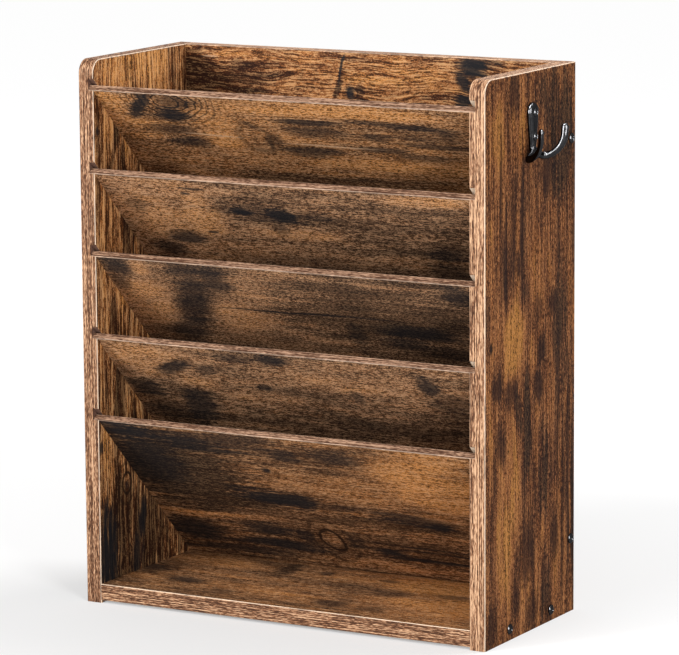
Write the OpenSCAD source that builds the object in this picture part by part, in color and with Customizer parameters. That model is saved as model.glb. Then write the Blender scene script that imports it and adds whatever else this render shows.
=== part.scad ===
// Wall file organizer: five slanted dividers held in the grooves of two side panels.
// The origin is the centre of the footprint at floor level. +Z is up and the open front faces -Y.
// All sizes are in millimetres.

/* [Overall] */
// Width over the outer faces of the side panels
organizer_w = 324; // [260:1:400]
// Depth from the front edges to the wall
organizer_d = 140; // [130:1:160]
// Height of the side panels
organizer_h = 395; // [390:1:440]

/* [Boards] */
// Thickness of the side, bottom and back boards
board_t = 12; // [11:0.5:16]
// Radius of the front top corner of a side panel
corner_r = 10; // [6:1:14]
// Gap between the bottom panel and the floor
bottom_gap = 2; // [1:0.5:8]
// Thickness of the edge bands
band_t = 0.8; // [0.5:0.1:1.5]
// Bevel along the long edges of an edge band
band_bevel = 0.45; // [0.2:0.05:0.45]

/* [Dividers] */
// Number of slanted dividers
divider_count = 5; // [3:1:5]
// Thickness of a divider
divider_t = 5; // [4:0.5:6]
// Slope of the dividers, falling from the front edge to the back panel
divider_angle = 44; // [38:1:46]
// Clear height between the front edges of two dividers
divider_opening = 56; // [48:1:58]
// Clear height of the bay under the lowest divider at the front
bottom_bay_h = 121; // [110:1:124]
// Depth of the grooves that hold the dividers
groove_depth = 4.5; // [3:0.5:5]
// Play across the thickness of a divider in its groove
groove_play = 1.2; // [0.2:0.1:2]
// Play at each end of a divider in its groove
divider_end_play = 0.2; // [0.1:0.1:1]
// Gap between the low end of a divider and the board that stops it
divider_stop_gap = 0.2; // [0.1:0.1:0.5]

/* [Board screws] */
// Length under the head
screw_l = 35; // [25:1:45]
// Shank diameter
screw_d = 4; // [3:0.5:5]
// Head diameter
screw_head_d = 7.4; // [6:0.2:9]
// Head height
screw_head_h = 2.2; // [1.8:0.1:3]
// Distance of the bottom panel's screws from the front and rear edges of the side panel
bottom_screw_inset = 37.5; // [25:0.5:45]
// Distance of the back panel's screws from the two ends of the side panel
back_screw_inset = 53.5; // [35:0.5:70]
// Radial clearance between a screw and its hole
screw_clear = 0.05; // [0.02:0.01:0.2]

/* [Hooks] */
// Distance from the top of the side panel to the top of the hook
hook_drop = 21.5; // [15:0.5:40]
// Radius of the hook plate's round top
hook_top_r = 7; // [6:0.5:9]
// Radius of the hook plate's narrow lower end
hook_foot_r = 3.2; // [2.5:0.1:4]
// Distance between the centres of the plate's two ends
hook_plate_l = 25; // [23:1:32]
// Thickness of the hook plate along its middle
hook_plate_t = 3.6; // [3:0.1:5]
// Thickness of the hook plate at its edge
hook_plate_edge_t = 1.6; // [1:0.1:2]
// Distance between the two screws of a hook
hook_screw_pitch = 16.7; // [14.5:0.1:18]
// Distance from the side panel to the middle of a prong's tip
hook_reach = 17; // [14:0.5:25]
// Distance between the tips of the two prongs
hook_span = 37.4; // [32:0.2:50]
// Height of the tips above the lowest point of the prongs' middle line
hook_rise = 19.5; // [15:0.5:26]
// Depth of the prongs' lowest point under the centre of the plate's lower end
prong_drop = 6; // [5:0.5:10]
// Radius of a prong at its root
prong_root_r = 2.4; // [2:0.1:2.6]
// Radius of a prong at its tip
prong_tip_r = 2.9; // [2.4:0.1:4]
// Thickness of a prong square to its own plane, against its width in that plane
prong_flatness = 0.76; // [0.6:0.02:1]

/* [Small screws] */
// Length of a hook screw under its head
hook_screw_l = 10; // [8:0.5:11]
// Shank diameter of the hook screws and hanger screws
small_screw_d = 3; // [2.5:0.1:3.2]
// Head diameter of the hook screws and hanger screws
small_head_d = 5.8; // [5:0.1:6.4]
// Head height of a hook screw
small_head_h = 1.9; // [1.5:0.1:2.2]
// Length of a hanger screw
hanger_screw_l = 9; // [7:0.5:10]

/* [Hangers] */
// Height of a keyhole hanger plate
hanger_h = 46; // [44:1:60]
// Width of a keyhole hanger plate
hanger_w = 16; // [14:1:22]
// Thickness of a keyhole hanger plate
hanger_t = 1.5; // [1:0.1:2]
// Distance between the centres of the two hangers
hanger_spacing = 200; // [120:1:220]
// Distance from the top of the back panel to the middle of the hangers
hanger_drop = 45; // [35:1:80]
// Radius of the keyhole's round opening
keyhole_r = 4.5; // [4:0.1:5.5]
// Width of the keyhole's slot
keyhole_slot_w = 4.6; // [4:0.1:5]
// Distance from the centre of the round opening to the centre of the slot's end
keyhole_travel = 8; // [7:0.5:10]
// Distance from each end of a hanger plate to its screw
hanger_screw_inset = 6; // [5:0.5:7]
// Play between a hanger plate and the edge of its recess
hanger_play = 0.2; // [0.1:0.1:0.5]
// Depth of the pocket behind the keyhole for the head of a wall screw
head_pocket_depth = 5; // [4:0.5:6.5]
// Space around the keyhole in that pocket
head_pocket_margin = 1; // [0.5:0.1:1.5]

/* [Hidden] */

$fn = 64;
cut = 1; // how far a cutting shape reaches past the face that it cuts
front_y = -organizer_d / 2;
rear_y = organizer_d / 2;
inner_w = organizer_w - 2 * board_t;
inner_d = organizer_d - board_t;
bottom_top_z = bottom_gap + board_t;

// Dividers. Each is placed by the lower edge of its front end.
divider_w = inner_w + 2 * (groove_depth - divider_end_play);
divider_pitch = divider_opening + divider_t * cos(divider_angle);
length_to_back = (inner_d - divider_t * sin(divider_angle) - divider_stop_gap) / cos(divider_angle);
length_to_bottom = (bottom_bay_h - divider_stop_gap) / sin(divider_angle);
divider_l = min(length_to_back, length_to_bottom);
groove_w = divider_t + groove_play;
groove_l = divider_l + divider_stop_gap;
function divider_z(i) = bottom_top_z + bottom_bay_h + (divider_count - i) * divider_pitch;

// Screws
screw_tip_l = screw_d * 1.2;
small_tip_l = small_screw_d;
tip_end_share = 0.15; // width of a screw's point against its shank
head_rim_share = 0.3; // height of a domed head's straight rim against the whole head
recess_l_share = 0.56; // length, width and depth of the cross recess against the head
recess_w_share = 0.16;
recess_depth_share = 0.55;
pilot_extra = 1; // how far a board screw's hole reaches past its point
small_pilot_extra = 0.4; // the same for the hook screws and hanger screws
bottom_screw_ys = [front_y + bottom_screw_inset, rear_y - bottom_screw_inset];
bottom_screw_z = bottom_gap + board_t / 2;
back_screw_zs = [back_screw_inset, organizer_h - back_screw_inset];
back_screw_y = rear_y - board_t / 2;

// Hook, in its own frame: x sideways, y up from the upper screw, z out from the side panel
spot_clear = 0.2; // space round a screw head in its flat seat
spot_depth = 0.4; // depth of that seat under the crown of the plate
prong_wall_gap = 0.3; // space between the prongs' root and the side panel
hook_z = organizer_h - hook_drop - hook_top_r;
hook_spot_r = small_head_d / 2 + spot_clear;
hook_spot_t = hook_plate_t - spot_depth;
hook_taper = asin((hook_top_r - hook_foot_r) / hook_plate_l);
hook_bulge = hook_plate_t - hook_plate_edge_t;
flank_inset = 0.05; // the straight flanks cross the round ends just inside the tangent
hook_bulge_r = (hook_top_r * hook_top_r + hook_bulge * hook_bulge) / (2 * hook_bulge);
prong_low_y = -hook_plate_l - prong_drop;
prong_half = hook_span / 2;
prong_root = [0, -hook_plate_l - hook_foot_r / 3, prong_root_r + prong_wall_gap];

// Half of the prongs' middle line. Each row gives the way sideways, up and out, from 0 at the root's
// side, lowest point and surface gap to 1 at the tip.
prong_shares = [
    [0.28, 0.1, 0],
    [0.58, 0, 0.09],
    [0.76, 0.07, 0.43],
    [0.88, 0.28, 0.76],
    [0.96, 0.6, 0.95],
    [1, 1, 1]
];
prong_side = [
    for (s = prong_shares)
        prong_root + [
            s[0] * prong_half,
            s[1] * hook_rise + prong_low_y - prong_root[1],
            s[2] * (hook_reach - prong_root[2])
        ]
];
prong_path = concat(
    [for (k = [len(prong_side) - 1:-1:0]) [-prong_side[k][0], prong_side[k][1], prong_side[k][2]]],
    [prong_root],
    prong_side
);
prong_plane_turn = 0.34; // how much of the half span a prong gains while it comes out of the wall
prong_sides = 14; // corners of a ring, rings between two points of the path, and rings in a tip's dome
prong_steps = 4;
prong_cap_rings = 4;

// Hangers
hanger_z = organizer_h - hanger_drop;
hanger_end_r = hanger_w / 2;
keyhole_low_z = -keyhole_travel / 2;
hanger_screw_zs = [-hanger_h / 2 + hanger_screw_inset, hanger_h / 2 - hanger_screw_inset];
head_pocket_w = 2 * (keyhole_r + head_pocket_margin);

dark_oak = "saddlebrown";
pale_edge = "rosybrown";
black_metal = [0.12, 0.12, 0.13];
steel = "silver";

// Extrudes an outline drawn in Y and Z along +X, from the plane x0
module along_x(x0, length) {
    translate([x0, 0, 0])
        rotate([90, 0, 90])
            linear_extrude(length)
                children();
}

// Draws its children at the right side and once more, mirrored, at the left side
module both_sides() {
    children();
    mirror([1, 0, 0])
        children();
}

// Turns a shape whose axis is +Z so that it points out of the right side panel
module on_right_face(y, z, lift = 0) {
    translate([organizer_w / 2 + lift, y, z])
        rotate([90, 0, 90])
            children();
}

// Outline of a side panel, with the banded edges moved in by inset
module side_outline(inset) {
    arc_r = corner_r - inset;
    arc_y = front_y + corner_r;
    arc_z = organizer_h - corner_r;
    union() {
        translate([front_y + inset, 0])
            square([organizer_d - inset, arc_z]);
        translate([arc_y, 0])
            square([rear_y - arc_y, organizer_h - inset]);
        translate([arc_y, arc_z])
            circle(r = arc_r);
    }
}

// Places an outline drawn along a divider: x down the slope, y square to its lower face
module on_slope(i) {
    translate([front_y, divider_z(i)])
        rotate(-divider_angle)
            children();
}

// Grooves for the dividers, cut from the inner face of the right side panel
module grooves() {
    entry = groove_w + cut;
    for (i = [1:divider_count])
        along_x(inner_w / 2 - cut, groove_depth + cut)
            on_slope(i)
                translate([-entry, 0])
                    square([entry + groove_l, groove_w]);
}

// Cross-section of an edge band: x outwards from the board's edge at x0, y across the band
module band_section(x0, width, bevel) {
    polygon([
        [x0, 0],
        [x0 + band_t - bevel, 0],
        [x0 + band_t, bevel],
        [x0 + band_t, width - bevel],
        [x0 + band_t - bevel, width],
        [x0, width]
    ]);
}

// Holes for all the board screws on the right
module board_screw_holes() {
    hole_l = screw_l + pilot_extra + cut;
    for (y = bottom_screw_ys)
        on_right_face(y, bottom_screw_z, cut - hole_l)
            cylinder(h = hole_l, d = screw_d + 2 * screw_clear);
    for (z = back_screw_zs)
        on_right_face(back_screw_y, z, cut - hole_l)
            cylinder(h = hole_l, d = screw_d + 2 * screw_clear);
}

// Pilot holes for the screws of the right hook
module hook_pilot_holes() {
    hole_l = hook_screw_l - hook_spot_t + small_pilot_extra;
    for (drop = [0, hook_screw_pitch])
        on_right_face(0, hook_z - drop, -hole_l)
            cylinder(h = hole_l + cut, d = small_screw_d + 2 * screw_clear);
}

// The right side panel; the left one is its mirror image
module side_panel() {
    difference() {
        along_x(inner_w / 2, board_t)
            side_outline(band_t);
        grooves();
        board_screw_holes();
        hook_pilot_holes();
    }
}

module right_side_panel() {
    color(dark_oak)
        side_panel();
}

module left_side_panel() {
    color(dark_oak)
        mirror([1, 0, 0])
            side_panel();
}

// One strip that runs up the front edge, round the corner and along the top edge
module side_edge_band() {
    arc_y = front_y + corner_r;
    arc_z = organizer_h - corner_r;
    core_r = corner_r - band_t;
    difference() {
        translate([inner_w / 2, arc_y, 0])
            union() {
                linear_extrude(arc_z)
                    rotate(-90)
                        band_section(core_r, board_t, band_bevel);
                translate([0, 0, arc_z])
                    rotate([90, 0, 90])
                        rotate([0, 0, 90])
                            rotate_extrude(angle = 90)
                                band_section(core_r, board_t, band_bevel);
                translate([0, 0, arc_z])
                    rotate([-90, 0, 0])
                        linear_extrude(organizer_d - corner_r)
                            rotate(-90)
                                band_section(core_r, board_t, band_bevel);
            }
        grooves();
    }
}

module right_side_edge_band() {
    color(pale_edge)
        side_edge_band();
}

module left_side_edge_band() {
    color(pale_edge)
        mirror([1, 0, 0])
            side_edge_band();
}

// Recess and head pocket for one hanger, at the middle of the back panel
module hanger_recess() {
    translate([0, rear_y, hanger_z])
        rotate([90, 0, 0]) {
            translate([0, 0, -cut])
                linear_extrude(hanger_t + cut)
                    hanger_outline(hanger_play);
            linear_extrude(hanger_t + head_pocket_depth)
                long_hole(head_pocket_w, keyhole_low_z, keyhole_low_z + keyhole_travel);
            for (z = hanger_screw_zs)
                translate([0, z, 0])
                    cylinder(h = hanger_screw_l + small_pilot_extra, d = small_screw_d + 2 * screw_clear);
        }
}

module back_panel() {
    color(dark_oak)
        difference() {
            translate([-inner_w / 2, rear_y - board_t, bottom_gap])
                cube([inner_w, board_t, organizer_h - bottom_gap - band_t]);
            both_sides()
                board_screw_holes();
            both_sides()
                translate([hanger_spacing / 2, 0, 0])
                    hanger_recess();
        }
}

module back_panel_edge_band() {
    color(pale_edge)
        along_x(-inner_w / 2, inner_w)
            translate([rear_y, organizer_h - band_t])
                rotate(90)
                    band_section(0, board_t, band_bevel);
}

module bottom_panel() {
    color(dark_oak)
        difference() {
            translate([-inner_w / 2, front_y + band_t, bottom_gap])
                cube([inner_w, inner_d - band_t, board_t]);
            both_sides()
                board_screw_holes();
        }
}

module bottom_panel_edge_band() {
    color(pale_edge)
        along_x(-inner_w / 2, inner_w)
            translate([front_y + band_t, bottom_top_z])
                rotate(180)
                    band_section(0, board_t, band_bevel);
}

module divider(i) {
    color(dark_oak)
        along_x(-divider_w / 2, divider_w)
            on_slope(i)
                translate([band_t, 0])
                    square([divider_l - band_t, divider_t]);
}

module divider_edge_band(i) {
    color(pale_edge)
        along_x(-divider_w / 2, divider_w)
            on_slope(i)
                translate([band_t, divider_t])
                    rotate(180)
                        band_section(0, divider_t, band_bevel);
}

// Cross-shaped recess, cut down from the top of a head
module cross_recess(head_d, head_h) {
    depth = head_h * recess_depth_share;
    slot_l = head_d * recess_l_share;
    slot_w = head_d * recess_w_share;
    for (turn = [0, 90])
        rotate([0, 0, turn])
            translate([-slot_l / 2, -slot_w / 2, head_h - depth])
                cube([slot_l, slot_w, depth + cut]);
}

// Shank with a pointed end, from z = 0 down
module shank(d, length, tip_l) {
    translate([0, 0, tip_l - length])
        cylinder(h = length - tip_l, d = d);
    translate([0, 0, -length])
        cylinder(h = tip_l, d1 = d * tip_end_share, d2 = d);
}

// Screw with a domed head that sits on z = 0
module domed_screw(d, length, head_d, head_h, tip_l) {
    dome_h = head_h * (1 - head_rim_share);
    dome_r = (head_d * head_d / 4 + dome_h * dome_h) / (2 * dome_h);
    difference() {
        union() {
            intersection() {
                cylinder(h = head_h, d = head_d);
                translate([0, 0, head_h - dome_r])
                    sphere(r = dome_r);
            }
            shank(d, length, tip_l);
        }
        cross_recess(head_d, head_h);
    }
}

module board_screw() {
    domed_screw(screw_d, screw_l, screw_head_d, screw_head_h, screw_tip_l);
}

module bottom_panel_screws() {
    color(black_metal)
        both_sides()
            for (y = bottom_screw_ys)
                on_right_face(y, bottom_screw_z)
                    board_screw();
}

module back_panel_screws() {
    color(black_metal)
        both_sides()
            for (z = back_screw_zs)
                on_right_face(back_screw_y, z)
                    board_screw();
}

// Outline of the hook plate: two round ends and the straight flanks between them
module hook_outline() {
    across = cos(hook_taper);
    along = sin(hook_taper);
    circle(r = hook_top_r);
    translate([0, -hook_plate_l])
        circle(r = hook_foot_r);
    top_x = (hook_top_r - flank_inset) * across;
    top_y = (flank_inset - hook_top_r) * along;
    foot_x = (hook_foot_r - flank_inset) * across;
    foot_y = (flank_inset - hook_foot_r) * along - hook_plate_l;
    polygon([[top_x, top_y], [-top_x, top_y], [-foot_x, foot_y], [foot_x, foot_y]]);
}

// Hook plate, rounded across its width, with a flat seat under each screw head
module hook_plate() {
    difference() {
        intersection() {
            linear_extrude(hook_plate_t + cut)
                hook_outline();
            translate([0, 0, hook_plate_t - hook_bulge_r])
                rotate([90, 0, 0])
                    cylinder(h = 4 * hook_plate_l, r = hook_bulge_r, center = true, $fn = 96);
        }
        for (drop = [0, hook_screw_pitch])
            translate([0, -drop, 0]) {
                translate([0, 0, hook_spot_t])
                    cylinder(h = cut, r = hook_spot_r);
                translate([0, 0, -cut])
                    cylinder(h = hook_plate_t + 2 * cut, d = small_screw_d + 2 * screw_clear);
            }
    }
}

// Point and direction on a smooth curve through the points of a path
function path_at(path, t) =
    let (
        n = len(path),
        i = min(floor(t), n - 2),
        f = t - i,
        p1 = path[i],
        p2 = path[i + 1],
        p0 = i > 0 ? path[i - 1] : 2 * p1 - p2,
        p3 = i + 2 < n ? path[i + 2] : 2 * p2 - p1
    )
    0.5 * (2 * p1 + (p2 - p0) * f + (2 * p0 - 5 * p1 + 4 * p2 - p3) * f * f
        + (3 * p1 - p0 - 3 * p2 + p3) * f * f * f);
function unit(v) = v / norm(v);
function path_dir(path, t) =
    let (last = len(path) - 1)
    unit(path_at(path, min(t + 0.02, last)) - path_at(path, max(t - 0.02, 0)));

// Oval ring of points square to a direction. Its thin way turns with share, from -1 at one tip to 1 at
// the other, so that it stays square to the plane of each prong.
function ring(centre, dir, r, share) =
    let (
        plane_normal = [share * (hook_reach - prong_root_r), 0, -prong_half * prong_plane_turn],
        side = unit(cross(dir, plane_normal)),
        up = cross(side, dir) * prong_flatness
    )
    [for (k = [0:prong_sides - 1])
        let (a = 360 * k / prong_sides)
        centre + r * (cos(a) * side + sin(a) * up)];

// One oval bar for both prongs: it is thinnest at the plate and thickens to a dome at each tip
module prongs() {
    last = len(prong_path) - 1;
    steps = last * prong_steps;
    body_rings = [
        for (s = [0:steps])
            let (
                t = s / prong_steps,
                share = 2 * s / steps - 1,
                r = prong_root_r + (prong_tip_r - prong_root_r) * abs(share)
            )
            ring(path_at(prong_path, t), path_dir(prong_path, t), r, share)
    ];
    start_dir = -path_dir(prong_path, 0);
    end_dir = path_dir(prong_path, last);
    cap_turns = [for (c = [1:prong_cap_rings - 1]) 90 * c / prong_cap_rings];
    start_cap = [
        for (c = [1:prong_cap_rings - 1])
            let (a = cap_turns[prong_cap_rings - 1 - c])
            ring(prong_path[0] + start_dir * prong_tip_r * sin(a), -start_dir, prong_tip_r * cos(a), -1)
    ];
    end_cap = [
        for (a = cap_turns)
            ring(prong_path[last] + end_dir * prong_tip_r * sin(a), end_dir, prong_tip_r * cos(a), 1)
    ];
    rings = concat(start_cap, body_rings, end_cap);
    tips = [prong_path[0] + start_dir * prong_tip_r, prong_path[last] + end_dir * prong_tip_r];
    points = concat([for (r = rings) each r], tips);
    n = prong_sides;
    top_ring = (len(rings) - 1) * n;
    sides = [
        for (r = [0:len(rings) - 2], k = [0:n - 1])
            let (a = r * n + k, b = r * n + (k + 1) % n)
            each [[a, b, b + n], [a, b + n, a + n]]
    ];
    first_tip = [for (k = [0:n - 1]) [len(rings) * n, (k + 1) % n, k]];
    second_tip = [for (k = [0:n - 1]) [len(rings) * n + 1, top_ring + k, top_ring + (k + 1) % n]];
    polyhedron(points, concat(sides, first_tip, second_tip), convexity = 4);
}

module hook() {
    union() {
        hook_plate();
        prongs();
    }
}

module right_hook() {
    color(black_metal)
        on_right_face(0, hook_z)
            hook();
}

module left_hook() {
    color(black_metal)
        mirror([1, 0, 0])
            on_right_face(0, hook_z)
                hook();
}

module hook_screws() {
    color(black_metal)
        both_sides()
            for (drop = [0, hook_screw_pitch])
                on_right_face(0, hook_z - drop, hook_spot_t)
                    domed_screw(small_screw_d, hook_screw_l, small_head_d, small_head_h, small_tip_l);
}

// Round-ended shape along y, of the given width, between two end centres
module long_hole(width, low, high) {
    translate([0, low])
        circle(d = width);
    translate([0, high])
        circle(d = width);
    translate([-width / 2, low])
        square([width, high - low]);
}

// Outline of a hanger plate, grown by a play all round
module hanger_outline(play) {
    reach = hanger_h / 2 - hanger_end_r;
    long_hole(hanger_w + 2 * play, -reach, reach);
}

// Hanger plate with its outer face on z = 0, going down to -hanger_t
module hanger_plate() {
    play = 2 * screw_clear;
    difference() {
        translate([0, 0, -hanger_t])
            linear_extrude(hanger_t)
                hanger_outline(0);
        translate([0, keyhole_low_z, -hanger_t - cut])
            cylinder(h = hanger_t + 2 * cut, r = keyhole_r);
        translate([0, 0, -hanger_t - cut])
            linear_extrude(hanger_t + 2 * cut)
                long_hole(keyhole_slot_w, keyhole_low_z, keyhole_low_z + keyhole_travel);
        for (z = hanger_screw_zs)
            translate([0, z, -hanger_t])
                cylinder(h = hanger_t, d1 = small_screw_d + play, d2 = small_head_d + play);
    }
}

// Puts a shape drawn with its face on z = 0 on the rear face of the back panel
module on_rear_face(x, z) {
    translate([x, rear_y, z])
        rotate([90, 0, 180])
            children();
}

module right_hanger_plate() {
    color(steel)
        on_rear_face(hanger_spacing / 2, hanger_z)
            hanger_plate();
}

module left_hanger_plate() {
    color(steel)
        on_rear_face(-hanger_spacing / 2, hanger_z)
            hanger_plate();
}

// Countersunk screw whose flat head is level with z = 0
module flat_screw() {
    difference() {
        union() {
            translate([0, 0, -hanger_t])
                cylinder(h = hanger_t, d1 = small_screw_d, d2 = small_head_d);
            translate([0, 0, -hanger_t])
                shank(small_screw_d, hanger_screw_l - hanger_t, small_tip_l);
        }
        translate([0, 0, -hanger_t])
            cross_recess(small_head_d, hanger_t);
    }
}

module hanger_screws() {
    color(steel)
        both_sides()
            for (z = hanger_screw_zs)
                on_rear_face(hanger_spacing / 2, hanger_z + z)
                    flat_screw();
}

left_side_panel();
right_side_panel();
back_panel();
bottom_panel();
for (i = [1:divider_count])
    divider(i);
left_side_edge_band();
right_side_edge_band();
back_panel_edge_band();
bottom_panel_edge_band();
for (i = [1:divider_count])
    divider_edge_band(i);
bottom_panel_screws();
back_panel_screws();
left_hook();
right_hook();
hook_screws();
left_hanger_plate();
right_hanger_plate();
hanger_screws();
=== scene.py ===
"""Dresses the wall file organizer: printed oak boards, pale edge bands, cast hooks, screws and hangers.

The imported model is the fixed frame. Boards, dividers and edge bands keep their solids and get printed
materials, whose patterns are laid out in board coordinates in millimetres. The hooks, screws and hanger
plates are modelled here with rounder edges, threads and cross recesses, where the frame has them.
"""
import logging
import math
from dataclasses import dataclass, field
from enum import Enum

import bmesh
import bpy
from mathutils import Matrix, Vector


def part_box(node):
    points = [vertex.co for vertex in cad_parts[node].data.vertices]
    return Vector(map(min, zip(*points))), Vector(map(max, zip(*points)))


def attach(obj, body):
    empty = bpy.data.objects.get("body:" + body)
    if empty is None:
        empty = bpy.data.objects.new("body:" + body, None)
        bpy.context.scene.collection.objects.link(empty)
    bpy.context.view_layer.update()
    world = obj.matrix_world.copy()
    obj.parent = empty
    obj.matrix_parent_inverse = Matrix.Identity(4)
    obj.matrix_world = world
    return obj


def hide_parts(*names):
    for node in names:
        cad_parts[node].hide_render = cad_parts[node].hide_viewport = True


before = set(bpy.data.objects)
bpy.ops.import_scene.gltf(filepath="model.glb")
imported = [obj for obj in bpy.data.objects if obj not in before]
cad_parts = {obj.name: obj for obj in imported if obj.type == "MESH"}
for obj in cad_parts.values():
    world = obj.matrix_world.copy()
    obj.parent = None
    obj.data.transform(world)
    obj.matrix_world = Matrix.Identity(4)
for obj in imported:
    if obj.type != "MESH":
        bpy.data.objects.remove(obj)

LOG = logging.getLogger("wall_file_organizer")
MM = 0.001
BODY = "root"

Triple = tuple[float, float, float]
Colour = Triple
Span = tuple[float, float, float, float]
Socket = bpy.types.NodeSocket
Piece = bpy.types.Object

ORIGIN = Vector((0, 0, 0))
RIGHT = Vector((1, 0, 0))
REAR = Vector((0, 1, 0))
UP = Vector((0, 0, 1))


def srgb(red: float, green: float, blue: float) -> Colour:
    """Turns a colour from 0 to 255, as it looks on a screen, into the values that shaders take."""

    def linear(level: float) -> float:
        """Undoes the screen's curve for one channel."""
        share = level / 255
        return share / 12.92 if share <= 0.04045 else ((share + 0.055) / 1.055) ** 2.4

    return (linear(red), linear(green), linear(blue))


def shade(colour: Colour, share: float) -> Colour:
    """Makes a colour darker or lighter."""
    return tuple(channel * share for channel in colour)


class Tint(Enum):
    """What a mark in the print does to the wood under it."""

    CHAR = "char"
    UMBER = "umber"
    GLOW = "glow"
    PALE = "pale"


@dataclass(frozen=True)
class Mark:
    """A soft-edged patch or streak in the print, in board millimetres, turned by degrees."""

    along: float
    across: float
    half_length: float
    half_width: float
    strength: float
    tint: Tint = Tint.CHAR
    turn: float = 0.0


@dataclass(frozen=True)
class Knot:
    """An eye in the print, in board millimetres, with rings from its hollow out to its reach.

    The hollow and the reach are shares of its size, and the rings are counted from its middle to its outline.
    """

    along: float
    across: float
    half_length: float
    half_width: float
    strength: float = 0.9
    rings: float = 3.0
    turn: float = 0.0
    reach: float = 1.4
    hollow: float = 0.0


@dataclass(frozen=True)
class Lay:
    """How a board lies: its origin in millimetres and the ways along, across and through it."""

    origin: Vector
    along: Vector
    across: Vector
    through: Vector


@dataclass(frozen=True)
class Grain:
    """One noise: the size of its cells in millimetres, how many finer layers it has and how strong they are."""

    along: float
    across: float
    through: float
    detail: float = 2.0
    rough: float = 0.5


class Tree:
    """Builds the node tree of one material or world, step by step, and returns sockets."""

    def __init__(self, owner: bpy.types.Material | bpy.types.World) -> None:
        """Starts an empty tree for its owner."""
        owner.use_nodes = True
        self.owner = owner
        self.nodes = owner.node_tree.nodes
        self.links = owner.node_tree.links
        self.nodes.clear()
        place = self.nodes.new("ShaderNodeTexCoord")
        self.object_place = place.outputs["Object"]
        self.normal = place.outputs["Normal"]

    def feed(self, socket: Socket, value: object) -> None:
        """Links a socket to another, or sets its own value; a colour is given without its opacity."""
        if isinstance(value, Socket):
            self.links.new(value, socket)
        else:
            socket.default_value = (*value, 1.0) if socket.type == "RGBA" else value

    def node(self, kind: str, **inputs: object) -> bpy.types.Node:
        """Adds a node.

        Args:
            kind: The node's type.
            **inputs: Its inputs, with underscores for spaces.

        Returns:
            The node.
        """
        node = self.nodes.new(kind)
        for name, value in inputs.items():
            self.feed(node.inputs[name.replace("_", " ")], value)
        return node

    def maths(self, operation: str, *values: object) -> Socket:
        """One step of arithmetic on sockets or numbers."""
        node = self.nodes.new("ShaderNodeMath")
        node.operation = operation
        for socket, value in zip(node.inputs, values):
            self.feed(socket, value)
        return node.outputs[0]

    def vector_maths(self, operation: str, *values: object) -> Socket:
        """One step of arithmetic on vectors; LENGTH and DOT_PRODUCT give a number."""
        node = self.nodes.new("ShaderNodeVectorMath")
        node.operation = operation
        for socket, value in zip(node.inputs, values):
            self.feed(socket, value)
        return node.outputs["Value" if operation in ("LENGTH", "DOT_PRODUCT") else "Vector"]

    def split(self, vector: Socket) -> list[Socket]:
        """Gives a vector's three numbers."""
        return list(self.node("ShaderNodeSeparateXYZ", Vector=vector).outputs)

    def swings(self, *parts: tuple[Socket, float], start: float = 0.0) -> Socket:
        """Adds up how far noises are from their middle, one half.

        Args:
            *parts: The noises and their weights.
            start: The number that they are added to.

        Returns:
            The sum's socket.
        """
        total = start
        for noise, weight in parts:
            total = self.maths("MULTIPLY_ADD", self.maths("SUBTRACT", noise, 0.5), weight, total)
        return total

    def between(self, value: Socket, low: float, high: float) -> Socket:
        """1 where a number is between two others, else 0."""
        return self.maths("MULTIPLY", self.maths("GREATER_THAN", value, low), self.maths("LESS_THAN", value, high))

    def noise(self, place: Socket, grain: Grain, coloured: bool = False) -> Socket:
        """Reads a noise at a place in millimetres.

        Args:
            place: The place.
            grain: The noise.
            coloured: Whether the result is three numbers and not one.

        Returns:
            The result's socket.
        """
        cells = (1 / grain.along, 1 / grain.across, 1 / grain.through)
        node = self.node(
            "ShaderNodeTexNoise", Vector=self.vector_maths("MULTIPLY", place, cells),
            Scale=1.0, Detail=grain.detail, Roughness=grain.rough,
        )
        return node.outputs["Color" if coloured else 0]

    def shift(self, place: Socket, grain: Grain, reach: Triple) -> Socket:
        """An uneven shift of a place.

        Args:
            place: The place in millimetres.
            grain: The noise that makes the shift uneven.
            reach: The shift's full swing in each direction.

        Returns:
            The shift's socket.
        """
        swing = self.vector_maths("SUBTRACT", self.noise(place, grain, coloured=True), (0.5, 0.5, 0.5))
        return self.vector_maths("MULTIPLY", swing, reach)

    def span(
        self, value: object, low: float, high: float, start: float = 0.0, end: float = 1.0, soft: bool = True
    ) -> Socket:
        """Maps a number from one range to another and stops at its ends.

        Args:
            value: The number.
            low: Where the range begins.
            high: Where the range ends.
            start: The result at low.
            end: The result at high.
            soft: Whether the result eases in and out.

        Returns:
            The result's socket.
        """
        node = self.node(
            "ShaderNodeMapRange", Value=value, From_Min=low, From_Max=high, To_Min=start, To_Max=end
        )
        node.interpolation_type = "SMOOTHSTEP" if soft else "LINEAR"
        return node.outputs["Result"]

    def mix(self, share: object, first: object, second: object, blend: str = "MIX") -> Socket:
        """Mixes two colours.

        Args:
            share: How much of the second colour there is.
            first: The first colour.
            second: The second colour.
            blend: The way of mixing.

        Returns:
            The colour's socket.
        """
        node = self.nodes.new("ShaderNodeMix")
        node.data_type = "RGBA"
        node.blend_type = blend
        inputs = [node.inputs["Factor"], *[s for s in node.inputs if s.type == "RGBA"]]
        for socket, value in zip(inputs, (share, first, second)):
            self.feed(socket, value)
        return next(s for s in node.outputs if s.type == "RGBA")

    def ramp(self, value: Socket, stops: list[tuple[float, Colour]]) -> Socket:
        """Looks a colour up by a number.

        Args:
            value: The number, from 0 to 1.
            stops: Places and their colours.

        Returns:
            The colour's socket.
        """
        node = self.node("ShaderNodeValToRGB", Fac=value)
        elements = node.color_ramp.elements
        while len(elements) < len(stops):
            elements.new(0.5)
        for element, (place, colour) in zip(elements, stops):
            element.position = place
            element.color = (*colour, 1.0)
        return node.outputs["Color"]

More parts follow.
